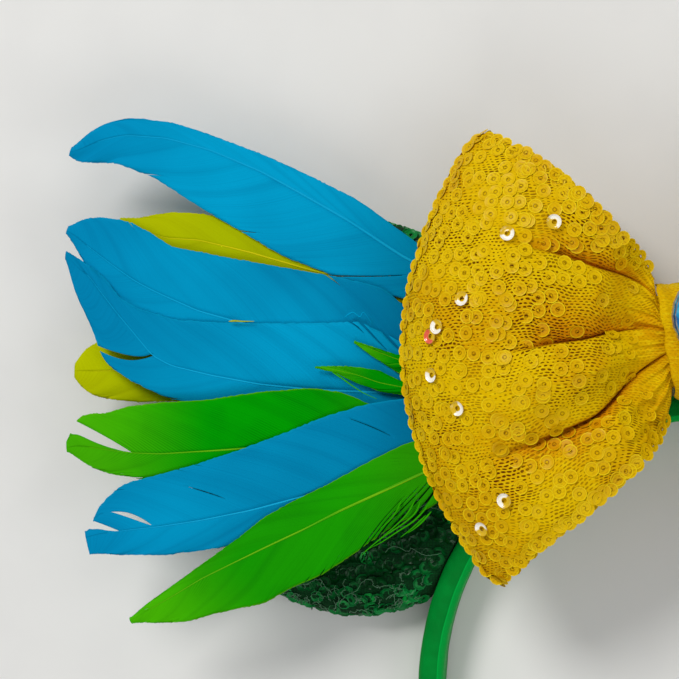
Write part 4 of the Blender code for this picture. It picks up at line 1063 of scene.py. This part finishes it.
fan = {
    "width": 0.022, "pitch": 0.0011, "back": 0.0121, "lift": 0.0055, "length": 0.1030,
    "root": np.array([-0.04694, 0.06242, 0.0]), "join": (-0.04444, 0.06842), "vaneRise": 0.0005,
    "vaneThickness": 0.00022, "stations": 176, "smallStations": 90, "barbRows": 15, "shaftRadius": 0.00036,
    "rake": 0.22, "rakeFade": 0.30,
    # name: layer from the ear, root height, lean in degrees, length share, shift of the root
    "feathers": {
        "yellow_2": (0, 0.17, 1.9, 0.84, 0.14), "yellow_1": (1, 0.60, 13.7, 0.73, 0.16),
        "blue_1": (2, 0.60, 19.0, 1.00, 0.035), "blue_2": (3, 0.21, 18.3, 1.03, 0.0),
        "blue_3": (4, 0.12, 6.7, 0.915, 0.0), "green_3": (5, 0.40, -1.6, 0.29, 0.05),
        "green_4": (6, 0.22, 2.3, 0.395, 0.03), "green_1": (7, -0.01, -3.4, 0.973, 0.0),
        "blue_4": (8, -0.12, -12.6, 0.94, 0.0), "green_2": (9, -0.14, -24.8, 0.91, 0.0),
    },
    # rows of (share of the length, shaft, upper edge, lower edge), the last three as shares of the width
    "outlines": {
        "blue_1": [
            (0.00, 0.00, 0.05, -0.14), (0.12, 0.03, 0.15, -0.27), (0.22, 0.10, 0.31, -0.33),
            (0.35, 0.26, 0.50, -0.32), (0.47, 0.37, 0.58, -0.30), (0.58, 0.46, 0.63, -0.20),
            (0.70, 0.50, 0.65, -0.08), (0.80, 0.47, 0.645, 0.04), (0.89, 0.36, 0.55, 0.055),
            (0.940, 0.22, 0.41, -0.02), (0.976, 0.06, 0.21, -0.07), (0.995, 0.00, 0.02, -0.02),
        ],
        "blue_2": [
            (0.00, 0.00, 0.05, -0.05), (0.12, -0.06, 0.10, -0.18), (0.25, -0.16, 0.34, -0.42),
            (0.32, -0.21, 0.46, -0.52), (0.42, -0.28, 0.42, -0.62), (0.56, -0.34, 0.32, -0.72),
            (0.68, -0.37, 0.24, -0.76), (0.78, -0.32, 0.18, -0.70), (0.83, -0.28, 0.25, -0.60),
            (0.884, -0.20, 0.29, -0.46), (0.944, -0.10, 0.245, -0.27), (0.984, -0.02, 0.15, -0.10),
            (1.004, 0.00, 0.02, -0.02),
        ],
        "blue_3": [
            (0.00, 0.00, 0.05, -0.05), (0.12, -0.04, 0.14, -0.18), (0.24, -0.10, 0.36, -0.34),
            (0.33, -0.14, 0.50, -0.44), (0.38, -0.16, 0.57, -0.50), (0.47, -0.19, 0.51, -0.56),
            (0.60, -0.20, 0.44, -0.57), (0.72, -0.165, 0.39, -0.52), (0.82, -0.115, 0.365, -0.45),
            (0.87, -0.03, 0.40, -0.385), (0.92, 0.18, 0.44, -0.31), (0.97, 0.38, 0.54, -0.20),
            (0.996, 0.50, 0.68, -0.08), (1.015, 0.58, 0.74, 0.11), (1.039, 0.70, 0.80, 0.29),
            (1.064, 0.77, 0.86, 0.46), (1.084, 0.83, 0.90, 0.63), (1.106, 0.93, 0.95, 0.91),
        ],
        "blue_4": [
            (0.00, 0.00, 0.05, -0.05), (0.10, 0.00, 0.30, -0.12), (0.20, -0.02, 0.68, -0.24),
            (0.30, -0.04, 0.71, -0.32), (0.40, -0.06, 0.68, -0.38), (0.51, -0.08, 0.60, -0.42),
            (0.62, -0.10, 0.53, -0.42), (0.74, -0.09, 0.48, -0.40), (0.84, -0.06, 0.46, -0.36),
            (0.90, -0.03, 0.45, -0.30), (0.95, -0.01, 0.33, -0.25), (0.982, 0.00, 0.22, -0.21),
            (0.991, 0.00, 0.07, -0.20), (1.012, -0.01, 0.05, -0.185),
        ],
        "green_1": [
            (0.00, 0.00, 0.05, -0.05), (0.12, -0.02, 0.10, -0.14), (0.24, -0.05, 0.16, -0.30),
            (0.31, -0.07, 0.26, -0.38), (0.37, -0.09, 0.40, -0.43), (0.44, -0.10, 0.46, -0.47),
            (0.56, -0.12, 0.45, -0.50), (0.68, -0.13, 0.40, -0.50), (0.79, -0.13, 0.40, -0.44),
            (0.86, -0.10, 0.38, -0.35), (0.91, -0.06, 0.32, -0.31), (0.947, -0.02, 0.33, -0.23),
            (0.976, 0.00, 0.30, -0.145), (0.991, 0.00, 0.165, -0.08), (1.003, -0.02, 0.00, -0.04),
        ],
        "green_2": [
            (0.00, 0.03, 0.08, -0.02), (0.12, 0.10, 0.40, -0.10), (0.22, 0.13, 0.48, -0.22),
            (0.33, 0.13, 0.46, -0.24), (0.43, 0.13, 0.43, -0.32), (0.53, 0.11, 0.42, -0.39),
            (0.61, 0.11, 0.39, -0.38), (0.69, 0.10, 0.30, -0.41), (0.80, 0.09, 0.21, -0.30),
            (0.88, 0.05, 0.14, -0.25), (0.95, 0.02, 0.08, -0.12), (1.00, 0.00, 0.02, -0.02),
        ],
        "yellow_1": [
            (0.00, 0.00, 0.05, -0.05), (0.20, -0.02, 0.12, -0.22), (0.40, -0.03, 0.18, -0.34),
            (0.58, 0.00, 0.26, -0.36), (0.75, 0.00, 0.28, -0.32), (0.85, -0.06, 0.22, -0.28),
            (0.95, -0.04, 0.07, -0.16), (1.00, 0.00, 0.03, -0.03),
        ],
        "yellow_2": [
            (0.00, 0.00, 0.05, -0.05), (0.20, 0.02, 0.16, -0.14), (0.45, 0.04, 0.34, -0.24),
            (0.70, 0.04, 0.40, -0.27), (0.82, 0.03, 0.40, -0.30), (0.90, 0.02, 0.38, -0.28),
            (0.94, 0.01, 0.31, -0.245), (0.965, 0.01, 0.24, -0.195), (0.982, 0.01, 0.17, -0.135),
            (0.990, 0.00, 0.10, -0.08), (0.994, 0.00, 0.04, -0.03),
        ],
        "green_3": [
            (0.00, 0.00, 0.03, -0.03), (0.20, -0.06, 0.02, -0.16), (0.42, -0.15, -0.06, -0.29),
            (0.66, -0.20, -0.16, -0.35), (0.82, -0.11, -0.08, -0.19), (1.00, 0.00, 0.01, -0.01),
        ],
        "green_4": [
            (0.00, 0.00, 0.03, -0.03), (0.25, -0.12, -0.06, -0.20), (0.50, -0.17, -0.12, -0.25),
            (0.64, -0.13, -0.01, -0.22), (0.76, -0.06, 0.02, -0.14), (0.88, -0.02, 0.02, -0.04),
            (1.00, 0.00, 0.005, -0.005),
        ],
    },
    # splits along the barbs: (side, share of the length at the shaft, start and end across, half width, reach
    # to each side, lean to the tip at the edge); one that ends past 1 opens at the edge
    "splits": {
        "blue_1": [(-1, 0.36, 0.80, 1.2, 0.0030, 0.02), (-1, 0.60, 0.84, 1.2, 0.0030, 0.02),
                   (-1, 0.14, 0.35, 1.2, 0.0010, 0.01)],
        "blue_2": [(-1, 0.80, 0.7, 1.2, 0.003, 0.03), (1, 0.22, 0.80, 1.2, 0.002, 0.02)],
        "blue_3": [(1, 0.125, 0.74, 1.2, 0.0050, 0.01), (1, 0.152, 0.68, 1.2, 0.0060, 0.01),
                   (1, 0.182, 0.80, 1.2, 0.0040, 0.01)],
        "blue_4": [(1, 0.848, 0.03, 0.72, 0.0090, 0.03, 0.026),
                   (1, 0.613, 0.26, 0.70, 0.0019, 0.015), (1, 0.158, 0.45, 0.90, 0.0012, 0.01)],
        "green_1": [(-1, 0.70, 0.70, 1.2, 0.003, 0.02)],
        "green_2": [(-1, 0.195, 0.35, 1.2, 0.0045, 0.010), (-1, 0.172, 0.22, 1.2, 0.0050, 0.010),
                    (-1, 0.150, 0.18, 1.2, 0.0055, 0.010), (-1, 0.128, 0.15, 1.2, 0.0055, 0.010),
                    (-1, 0.105, 0.12, 1.2, 0.0050, 0.010), (-1, 0.080, 0.12, 1.2, 0.0040, 0.010),
                    (-1, 0.290, 0.82, 1.2, 0.0020, 0.010), (-1, 0.320, 0.86, 1.2, 0.0020, 0.010),
                    (1, 0.940, 0.20, 0.85, 0.0010, 0.010)],
        "yellow_1": [], "yellow_2": [(1, 0.70, 0.8, 1.2, 0.003, 0.02)], "green_3": [], "green_4": [],
    },
    # tips torn apart: (side, share of the length at the shaft, where both edges of the gap meet the outline,
    # how far the tear reaches, how much each edge bends out)
    "forks": {"green_1": (1, 0.857, 0.978, 0.992, 0.06, 0.0, 0.0),
              "blue_4": (1, 0.932, 0.983, 0.997, 0.04, 0.0, 0.0),
              "blue_3": (-1, 0.868, 0.997, 1.001, 0.10, 0.065, 0.050)},
    # how much darker each feather is painted at the root, in the middle and at the tip, the root's darkening
    # being painted shade; below 0 it takes the tip's colour instead
    "shades": {"blue_1": (0.12, 0.0, 0.05), "blue_2": (0.60, 0.18, 0.10), "blue_3": (0.12, 0.36, 0.30),
               "blue_4": (0.55, 0.48, 0.0), "green_1": (0.0, 0.03, 0.0), "green_2": (-0.25, -0.26, -0.1),
               "green_3": (0.25, 0.2, 0.1), "green_4": (0.15, 0.1, 0.0), "yellow_1": (0.1, 0.05, 0.0),
               "yellow_2": (0.0, 0.0, 0.0)},
    # loose barbs: dye, layer, then places that they pass
    "looseBarbs": [
        ("green", 9.6, [(-.0705, .0443), (-.0716, .0419), (-.0732, .0397), (-.0752, .0380)]),
        ("green", 9.8, [(-.0674, .0444), (-.0691, .0414), (-.0718, .0386), (-.0751, .0358),
                        (-.0787, .0328)]),
        ("green", 10.0, [(-.0661, .0444), (-.0672, .0417), (-.0699, .0392), (-.0741, .0364), (-.0773, .0339),
                         (-.0793, .0320)]),
        ("green", 9.7, [(-.0647, .0428), (-.0677, .0397), (-.0713, .0373), (-.0751, .0348), (-.0779, .0334)]),
        ("green", 9.9, [(-.0637, .0419), (-.0658, .0395), (-.0674, .0381), (-.0690, .0370)]),
        ("green", 9.5, [(-.0650, .0410), (-.0668, .0392), (-.0684, .0378), (-.0694, .0370), (-.0707, .0360)]),
        ("green", 6.2, [(-.0698, .0745), (-.0718, .0749), (-.0741, .0747)]),
        ("green", 7.2, [(-.0866, .0731), (-.0845, .0718), (-.0823, .0702), (-.0795, .0684), (-.0764, .0670)]),
        ("yellow", 4.75, [(-.1106, .0846), (-.1092, .0847), (-.1076, .0846), (-.1062, .0846),
                          (-.1048, .0846)]),
        ("blue", 4.8, [(-.0842, .0854), (-.0822, .0866), (-.0806, .0856), (-.0797, .0866), (-.0780, .0842)]),
    ],
}
# "barbs" is how strongly single barbs show
dyes = {
    "blue": {"tip": rgb(0, 143, 192), "middle": rgb(0, 160, 208), "base": rgb(0, 134, 180),
             "shaft": rgb(10, 166, 212), "dark": rgb(0, 70, 118), "barbs": 0.06},
    "green": {"tip": rgb(72, 180, 4), "middle": rgb(0, 154, 0), "base": rgb(46, 150, 2),
              "shaft": rgb(120, 186, 8), "dark": rgb(0, 76, 4), "barbs": 0.42},
    "yellow": {"tip": rgb(180, 190, 0), "middle": rgb(168, 182, 0), "base": rgb(166, 166, 0),
               "shaft": rgb(214, 200, 10), "dark": rgb(122, 118, 0), "barbs": 0.08},
}


def vaneMaterial(dye):
    colours = dyes[dye]
    material, tree, shader = newMaterial(dye + "Vane", Roughness=0.62, Specular_IOR_Level=0.015)
    along, across, shade = toneOf(tree)[:3]
    barbs = spots(tree, 1.0, 3.0, 0.6, place=clothPlace(tree, 2400, 30))
    fine = ribs(tree, clothPlace(tree, 320, 6), "X", 2.0)
    bands = spots(tree, 1.0, 2.0, 0.5, place=clothPlace(tree, 120, 10))
    patches = spots(tree, 26, 2.0)
    # the blue's darker base colour is painted shade towards the root
    colour = mixColour(tree, spread(tree, along, 0.08, 0.46), colours["base"], colours["middle"])
    colour = tinted(tree, colour, colours["tip"], along, 0.66, 0.98)
    # darkening from the shades table, painted shade at the root
    colour = tinted(tree, colour, colours["dark"], shade, 0.0, 1.0, 0.0, 0.66)
    colour = tinted(tree, colour, colours["tip"], shade, -1.0, 0.0, 1.0, 0.0)
    colour = tinted(tree, colour, colours["dark"], patches, 0.42, 0.66, 0.0, 0.16)
    colour = tinted(tree, colour, colours["dark"], bands, 0.46, 0.75, 0.0, 0.20)
    colour = tinted(tree, colour, colours["dark"], barbs, 0.45, 0.75, 0.0, 0.16)
    shown = spread(tree, spots(tree, 75, 2.0), 0.48, 0.62, 0.02, colours["barbs"])
    colour = mixColour(tree, times(tree, spread(tree, fine, 0.35, 0.0), shown), colour, colours["dark"])
    # painted shade beside the shaft
    colour = tinted(tree, colour, colours["dark"], across, 0.0, 0.10, 0.08, 0.0)
    # painted highlight along the vane edges
    colour = tinted(tree, colour, colours["shaft"], across, 0.965, 1.0, 0.0, 0.45)
    finished(tree, shader, colour, spread(tree, barbs, 0.3, 0.7, 0.54, 0.70))
    height = compute(tree, "ADD", times(tree, fine, 0.2), compute(tree, "ADD", barbs, bands))
    bumped(tree, shader, height, 0.22, 0.00014)
    return material


def shaftMaterial(dye):
    colours = dyes[dye]
    material, tree, shader = newMaterial(dye + "Shaft", Roughness=0.50, Specular_IOR_Level=0.06)
    grain = spots(tree, 1.0, 2.0, 0.5, place=clothPlace(tree, 60, 3000))
    colour = mixColour(tree, spread(tree, grain, 0.35, 0.7), colours["shaft"], colours["middle"])
    finished(tree, shader, colour)
    bumped(tree, shader, grain, 0.2, 0.0001)
    return material


def fanLift(points):
    # the fan curves up towards its tips
    away = np.hypot(points[..., 0] - fan["root"][0], points[..., 1] - fan["root"][1])
    return fan["lift"] * (away / fan["length"]) ** 2


def barbReach(stations, end, small):
    # how much further along the feather each barb ends than it starts, less and less towards the tip
    swept = stations + fan["rake"] * (1.6 if small else 1.0) * ease(stations / 0.16)
    limit = end - fan["rakeFade"] * (end - stations)
    reachOut = -np.log(np.exp(-60 * swept) + np.exp(-60 * limit)) / 60 - stations
    return np.clip(reachOut, 0, None) * ease(stations / 0.02)


def chanceSplits(rng, small):
    # a few small splits at the edges
    return [(rng.choice([-1, 1]), rng.uniform(0.10, 0.75), rng.uniform(0.86, 0.94), 1.2,
             rng.uniform(0.0010, 0.0022) * (4 if small else 1), 0.012) for _ in range(4 if small else 3)]


def splitShift(stations, rows, splits, edge):
    # moves the barbs at each split apart, closed at its start, and says which faces lie in its opening
    spacing = stations[1] - stations[0]
    shift = np.zeros((len(stations), len(rows)))
    opened = np.zeros((len(stations) - 1, len(rows) - 1), bool)
    for side, at, start, stop, width, reach, *leans in splits:
        gap = int(np.searchsorted(stations, at)) - 1
        if side != edge or not 0 <= gap < len(stations) - 1:
            continue
        away = np.arange(len(stations)) - gap - 0.5
        fall = np.sign(away) * np.exp(-(np.abs(away) - 0.5) * spacing / reach)
        part = np.clip((rows - start) / (min(stop, 1.0) - start), 0, 1)
        active = (rows >= start) & (rows <= stop + 1e-6)
        opening = width * (part if stop > 1 else np.sin(pi * part)) - 0.5 * spacing
        shift += fall[:, None] * np.where(active, opening, 0.0)[None]
        if leans:
            shift += leans[0] * np.exp(-np.abs(away) * spacing / 0.05)[:, None] * rows[None]
        opened[gap] |= active[:-1] & active[1:]
    return shift, opened


def tearTip(place, opened, stations, reachOut, rows, end, fork):
    # draws the barbs apart at a tear in the tip, and gives back the number of the gap
    gap = int(np.searchsorted(stations, fork[1])) - 1
    atRim = stations[gap] + reachOut[gap]
    nearer = np.exp((stations[:gap + 1] - stations[gap]) / fork[4])
    place[:gap + 1] += (fork[2] - atRim) * nearer[:, None] * rows[None]
    place[:gap + 1, 0] = stations[:gap + 1]
    squeeze = (end - fork[3]) / (end - atRim)
    place[gap + 1:] = end - (end - place[gap + 1:]) * blend(1.0, squeeze, rows)[None]
    place[gap + 1:, 0] = stations[gap + 1:]
    place[gap + 1, 0] = place[gap, 0]
    opened[gap] = True
    return gap


def makeShaft(name, side, stem, base, small, shaft, slot):
    # a flattened shaft that thins out, from where the fan is joined almost to the tip
    start = np.append(fan["join"], base)
    lead = np.array([blend(start, stem[0], share) for share in np.linspace(0, 0.95, 8)])
    path = np.vstack([lead, stem])
    size = fan["shaftRadius"] * (0.5 if small else 1.0)
    thinning = np.interp(np.linspace(0, 1, len(stem)), [0, 0.5, 0.8, 1], [1.1, 0.72, 0.38, 0.12])
    radii = np.concatenate([np.linspace(1.5, 1.15, 8), thinning]) * size
    addPiece(name, *tubeOnSide(path, side, radii, 8, flat=0.6), shaft,
             cloth=tubeCloth(runAlong(path), 8, 0.0004), slot=slot)


def makeFeather(label, side, name, vane, shaft):
    layer, rootShare, lean, lengthShare, shift = fan["feathers"][name]
    rng = np.random.default_rng(sum(map(ord, name)) * 7 + 11)
    length = lengthShare * fan["length"]
    along = np.array([-cos(radians(lean)), sin(radians(lean)), 0.0])
    beside = np.array([sin(radians(lean)), cos(radians(lean)), 0.0])
    root = fan["root"] + (-shift * fan["length"], rootShare * ear["halfHeight"], 0.0)
    base = fan["back"] + layer * fan["pitch"] + fan["vaneRise"]
    outline = np.array(fan["outlines"][name])
    end = outline[-1, 0]
    small = lengthShare < 0.5
    count, window = (fan["smallStations"], 0.03) if small else (fan["stations"], 0.022)
    stations = np.linspace(0, end, count)
    shaftLine = smoothLine(outline[:, 0], outline[:, 1], stations, window)
    rows = np.linspace(0, 1, fan["barbRows"])
    reachOut = barbReach(stations, end, small)
    splits = fan["splits"][name] + chanceSplits(rng, small)
    plane, faces, cloth, tone = [], [], [], []
    shade = np.interp(stations / end, [0.2, 0.55, 0.95], fan["shades"][name])
    for edge, column in ((1, 2), (-1, 3)):
        offset = len(plane) * count * fan["barbRows"]
        moved, opened = splitShift(stations, rows, splits, edge)
        place = stations[:, None] + reachOut[:, None] * (0.85 * rows + 0.15 * rows ** 2)[None] + moved
        fork = fan["forks"].get(name)
        torn = fork is not None and fork[0] == edge
        if torn:
            gap = tearTip(place, opened, stations, reachOut, rows, end, fork)
        place = place + rng.normal(0, 0.0005, count)[:, None] * np.clip(rows - 0.8, 0, 1)[None] * 5
        place = np.clip(place, 0, end)
        rim = smoothLine(outline[:, 0], outline[:, column], place, window)
        middle = shaftLine[:, None]
        if torn:                                   # the barbs beside the tear run straight
            rim = blend(rim, rim[:, -1:], np.exp(-np.abs(stations - stations[gap]) / 0.06)[:, None])
        out = middle * (1 - rows)[None] + rim * rows[None]
        if torn:
            bend = np.where(np.arange(count) <= gap, fork[5], fork[6])
            bend = bend * np.exp(-np.abs(stations - stations[gap]) / 0.03)
            out = out + edge * bend[:, None] * np.sin(pi * rows)[None]
        out = out + (rng.normal(0, 0.003, count)[:, None] * np.clip(rows - 0.85, 0, 1)[None] * 6)
        points = root + along * (place * length)[..., None] + beside * (out * fan["width"])[..., None]
        camber = -0.00042 * rows[None] ** 2 + 0.00014 * np.sin(stations * 34 + edge * 2)[:, None] * rows[None]
        points[..., 2] = base + fanLift(points) + camber
        grid = gridFaces(count, fan["barbRows"], offset=offset)
        grid = [face for face, gone in zip(grid, opened.ravel()) if not gone]
        faces += grid if edge > 0 else [face[::-1] for face in grid]
        plane.append(points.reshape(-1, 3))
        width = np.abs(rim - middle) * fan["width"]
        cloth.append(np.stack([np.repeat(stations * length, fan["barbRows"]) + 0.2 * edge,
                               (rows[None] * width).ravel()], axis=1))
        tone.append(np.stack([(place / end).ravel(), np.tile(rows, count),
                              np.repeat(shade, fan["barbRows"])], axis=1))
    points = np.vstack(plane)
    pieceName, slot = "feather" + label + name.title().replace("_", ""), "feather_" + name.split("_")[0]
    vanePiece = addPiece(pieceName, onSide(points, side), turned(faces, -side), vane, cloth=np.vstack(cloth),
                         tone=np.vstack(tone), slot=slot, stands=["feather_%s_%s" % (label.lower(), name)])
    body = vanePiece.modifiers.new("thickness", "SOLIDIFY")
    body.thickness, body.offset = fan["vaneThickness"], 0.0
    stem = root + along * (stations * length)[:, None] + beside * (shaftLine * fan["width"])[:, None]
    stem = stem[:int(count * 0.955):2]
    stem[:, 2] = base + fanLift(stem) + 0.00010
    makeShaft(pieceName + "Shaft", side, stem, base, small, shaft, slot)


def makeLooseBarbs(label, side, dye, vane):
    strands = Gathered()
    for colour, layer, places in fan["looseBarbs"]:
        if colour != dye:
            continue
        path = tableAt(places, np.linspace(0, len(places) - 1, 26))
        path = np.column_stack([path, np.zeros(len(path))])
        path[:, 2] = fan["back"] + layer * fan["pitch"] + 0.0006 + fanLift(path)
        radii = np.interp(np.linspace(0, 1, 26), [0, 0.15, 0.5, 1], [0.00006, 0.00022, 0.00016, 0.00005])
        points, faces = tubeOnSide(path, side, radii, 6, flat=0.4)
        # the loose barbs take half the tip's colour, which paints the green ones lighter: a painted highlight
        tone = np.column_stack([np.full(len(points), 0.5), np.repeat(np.linspace(0.5, 0.985, 26), 6),
                                np.full(len(points), -0.5)])
        flat = np.stack([np.full(len(points), 0.31), np.repeat(np.arange(26) * 0.0005, 6)], axis=1)
        strands.add(points, faces, cloth=flat, tone=tone)
    strands.piece("looseBarbs" + label + dye.title(), vane, slot="feather_" + dye)


vanes = {dye: vaneMaterial(dye) for dye in dyes}
shafts = {dye: shaftMaterial(dye) for dye in dyes}
for label, side in sideNames:
    for name in fan["feathers"]:
        dye = name.split("_")[0]
        makeFeather(label, side, name, vanes[dye], shafts[dye])
    for dye in ("green", "blue", "yellow"):
        makeLooseBarbs(label, side, dye, vanes[dye])
print("feathers made")


# Floor, lights and camera

studio = {
    "floor": rgb(226, 226, 224), "floorSize": 3.0,
    "cameraYaw": radians(8.2), "aim": (-0.08625, 0.08045, 0.012), "distance": 0.6, "lens": 138.3,
    "lights": [
        # name, place, size, power, colour
        ("keyLight", (-0.55, 0.75, 1.05), 0.55, 11.0, (1.0, 0.985, 0.96)),
        ("fillLight", (0.85, -0.35, 0.95), 0.8, 3.2, (0.96, 0.98, 1.0)),
        ("frontLight", (0.05, -0.75, 1.0), 0.7, 2.6, (1.0, 1.0, 1.0)),
    ],
    "lightAim": (-0.04, 0.03, 0.0), "skyStrength": 0.32,
}


def makeStudio():
    size = studio["floorSize"]
    corners = [(-size, -size), (size, -size), (size, size), (-size, size)]
    mesh = bpy.data.meshes.new("floor")
    mesh.from_pydata([(x, y, -0.0002) for x, y in corners], [], [(0, 1, 2, 3)])
    floor = bpy.data.objects.new("floor", mesh)
    bpy.context.scene.collection.objects.link(floor)
    material, tree, shader = newMaterial("paleFloor", Roughness=0.85)
    grain = spots(tree, 40, 3.0)
    finished(tree, shader, tinted(tree, studio["floor"], rgb(216, 216, 215), grain, 0.4, 0.7, 0.0, 0.25))
    mesh.materials.append(material)
    for name, place, size, power, colour in studio["lights"]:
        lamp = bpy.data.lights.new(name, "AREA")
        lamp.shape, lamp.size, lamp.energy, lamp.color = "DISK", size, power, colour
        light = bpy.data.objects.new(name, lamp)
        light.location = place
        light.rotation_mode = "QUATERNION"
        light.rotation_quaternion = (Vector(studio["lightAim"]) - light.location).to_track_quat("-Z", "Y")
        bpy.context.scene.collection.objects.link(light)
    world = bpy.data.worlds.new("studioSky")
    world.use_nodes = True
    world.node_tree.nodes["Background"].inputs[0].default_value = (1.0, 1.0, 1.0, 1.0)
    world.node_tree.nodes["Background"].inputs[1].default_value = studio["skyStrength"]
    bpy.context.scene.world = world
    bpy.context.scene.view_settings.view_transform = "Standard"


def makeCamera():
    yaw = studio["cameraYaw"]
    aim = Vector(studio["aim"]) + Vector((0, archY, 0))
    back = Vector((sin(yaw), 0, cos(yaw)))
    right = Vector((cos(yaw), 0, -sin(yaw)))
    lens = bpy.data.cameras.new("camera")
    lens.sensor_width, lens.lens = 36.0, studio["lens"]
    lens.clip_start, lens.clip_end = 0.05, 10.0
    camera = bpy.data.objects.new("camera", lens)
    camera.matrix_world = Matrix((
        (right.x, 0, back.x, 0), (right.y, 1, back.y, 0), (right.z, 0, back.z, 0), (0, 0, 0, 1)))
    camera.location = aim + back * studio["distance"]
    bpy.context.scene.collection.objects.link(camera)
    bpy.context.scene.camera = camera


makeStudio()
makeCamera()
print("studio set")
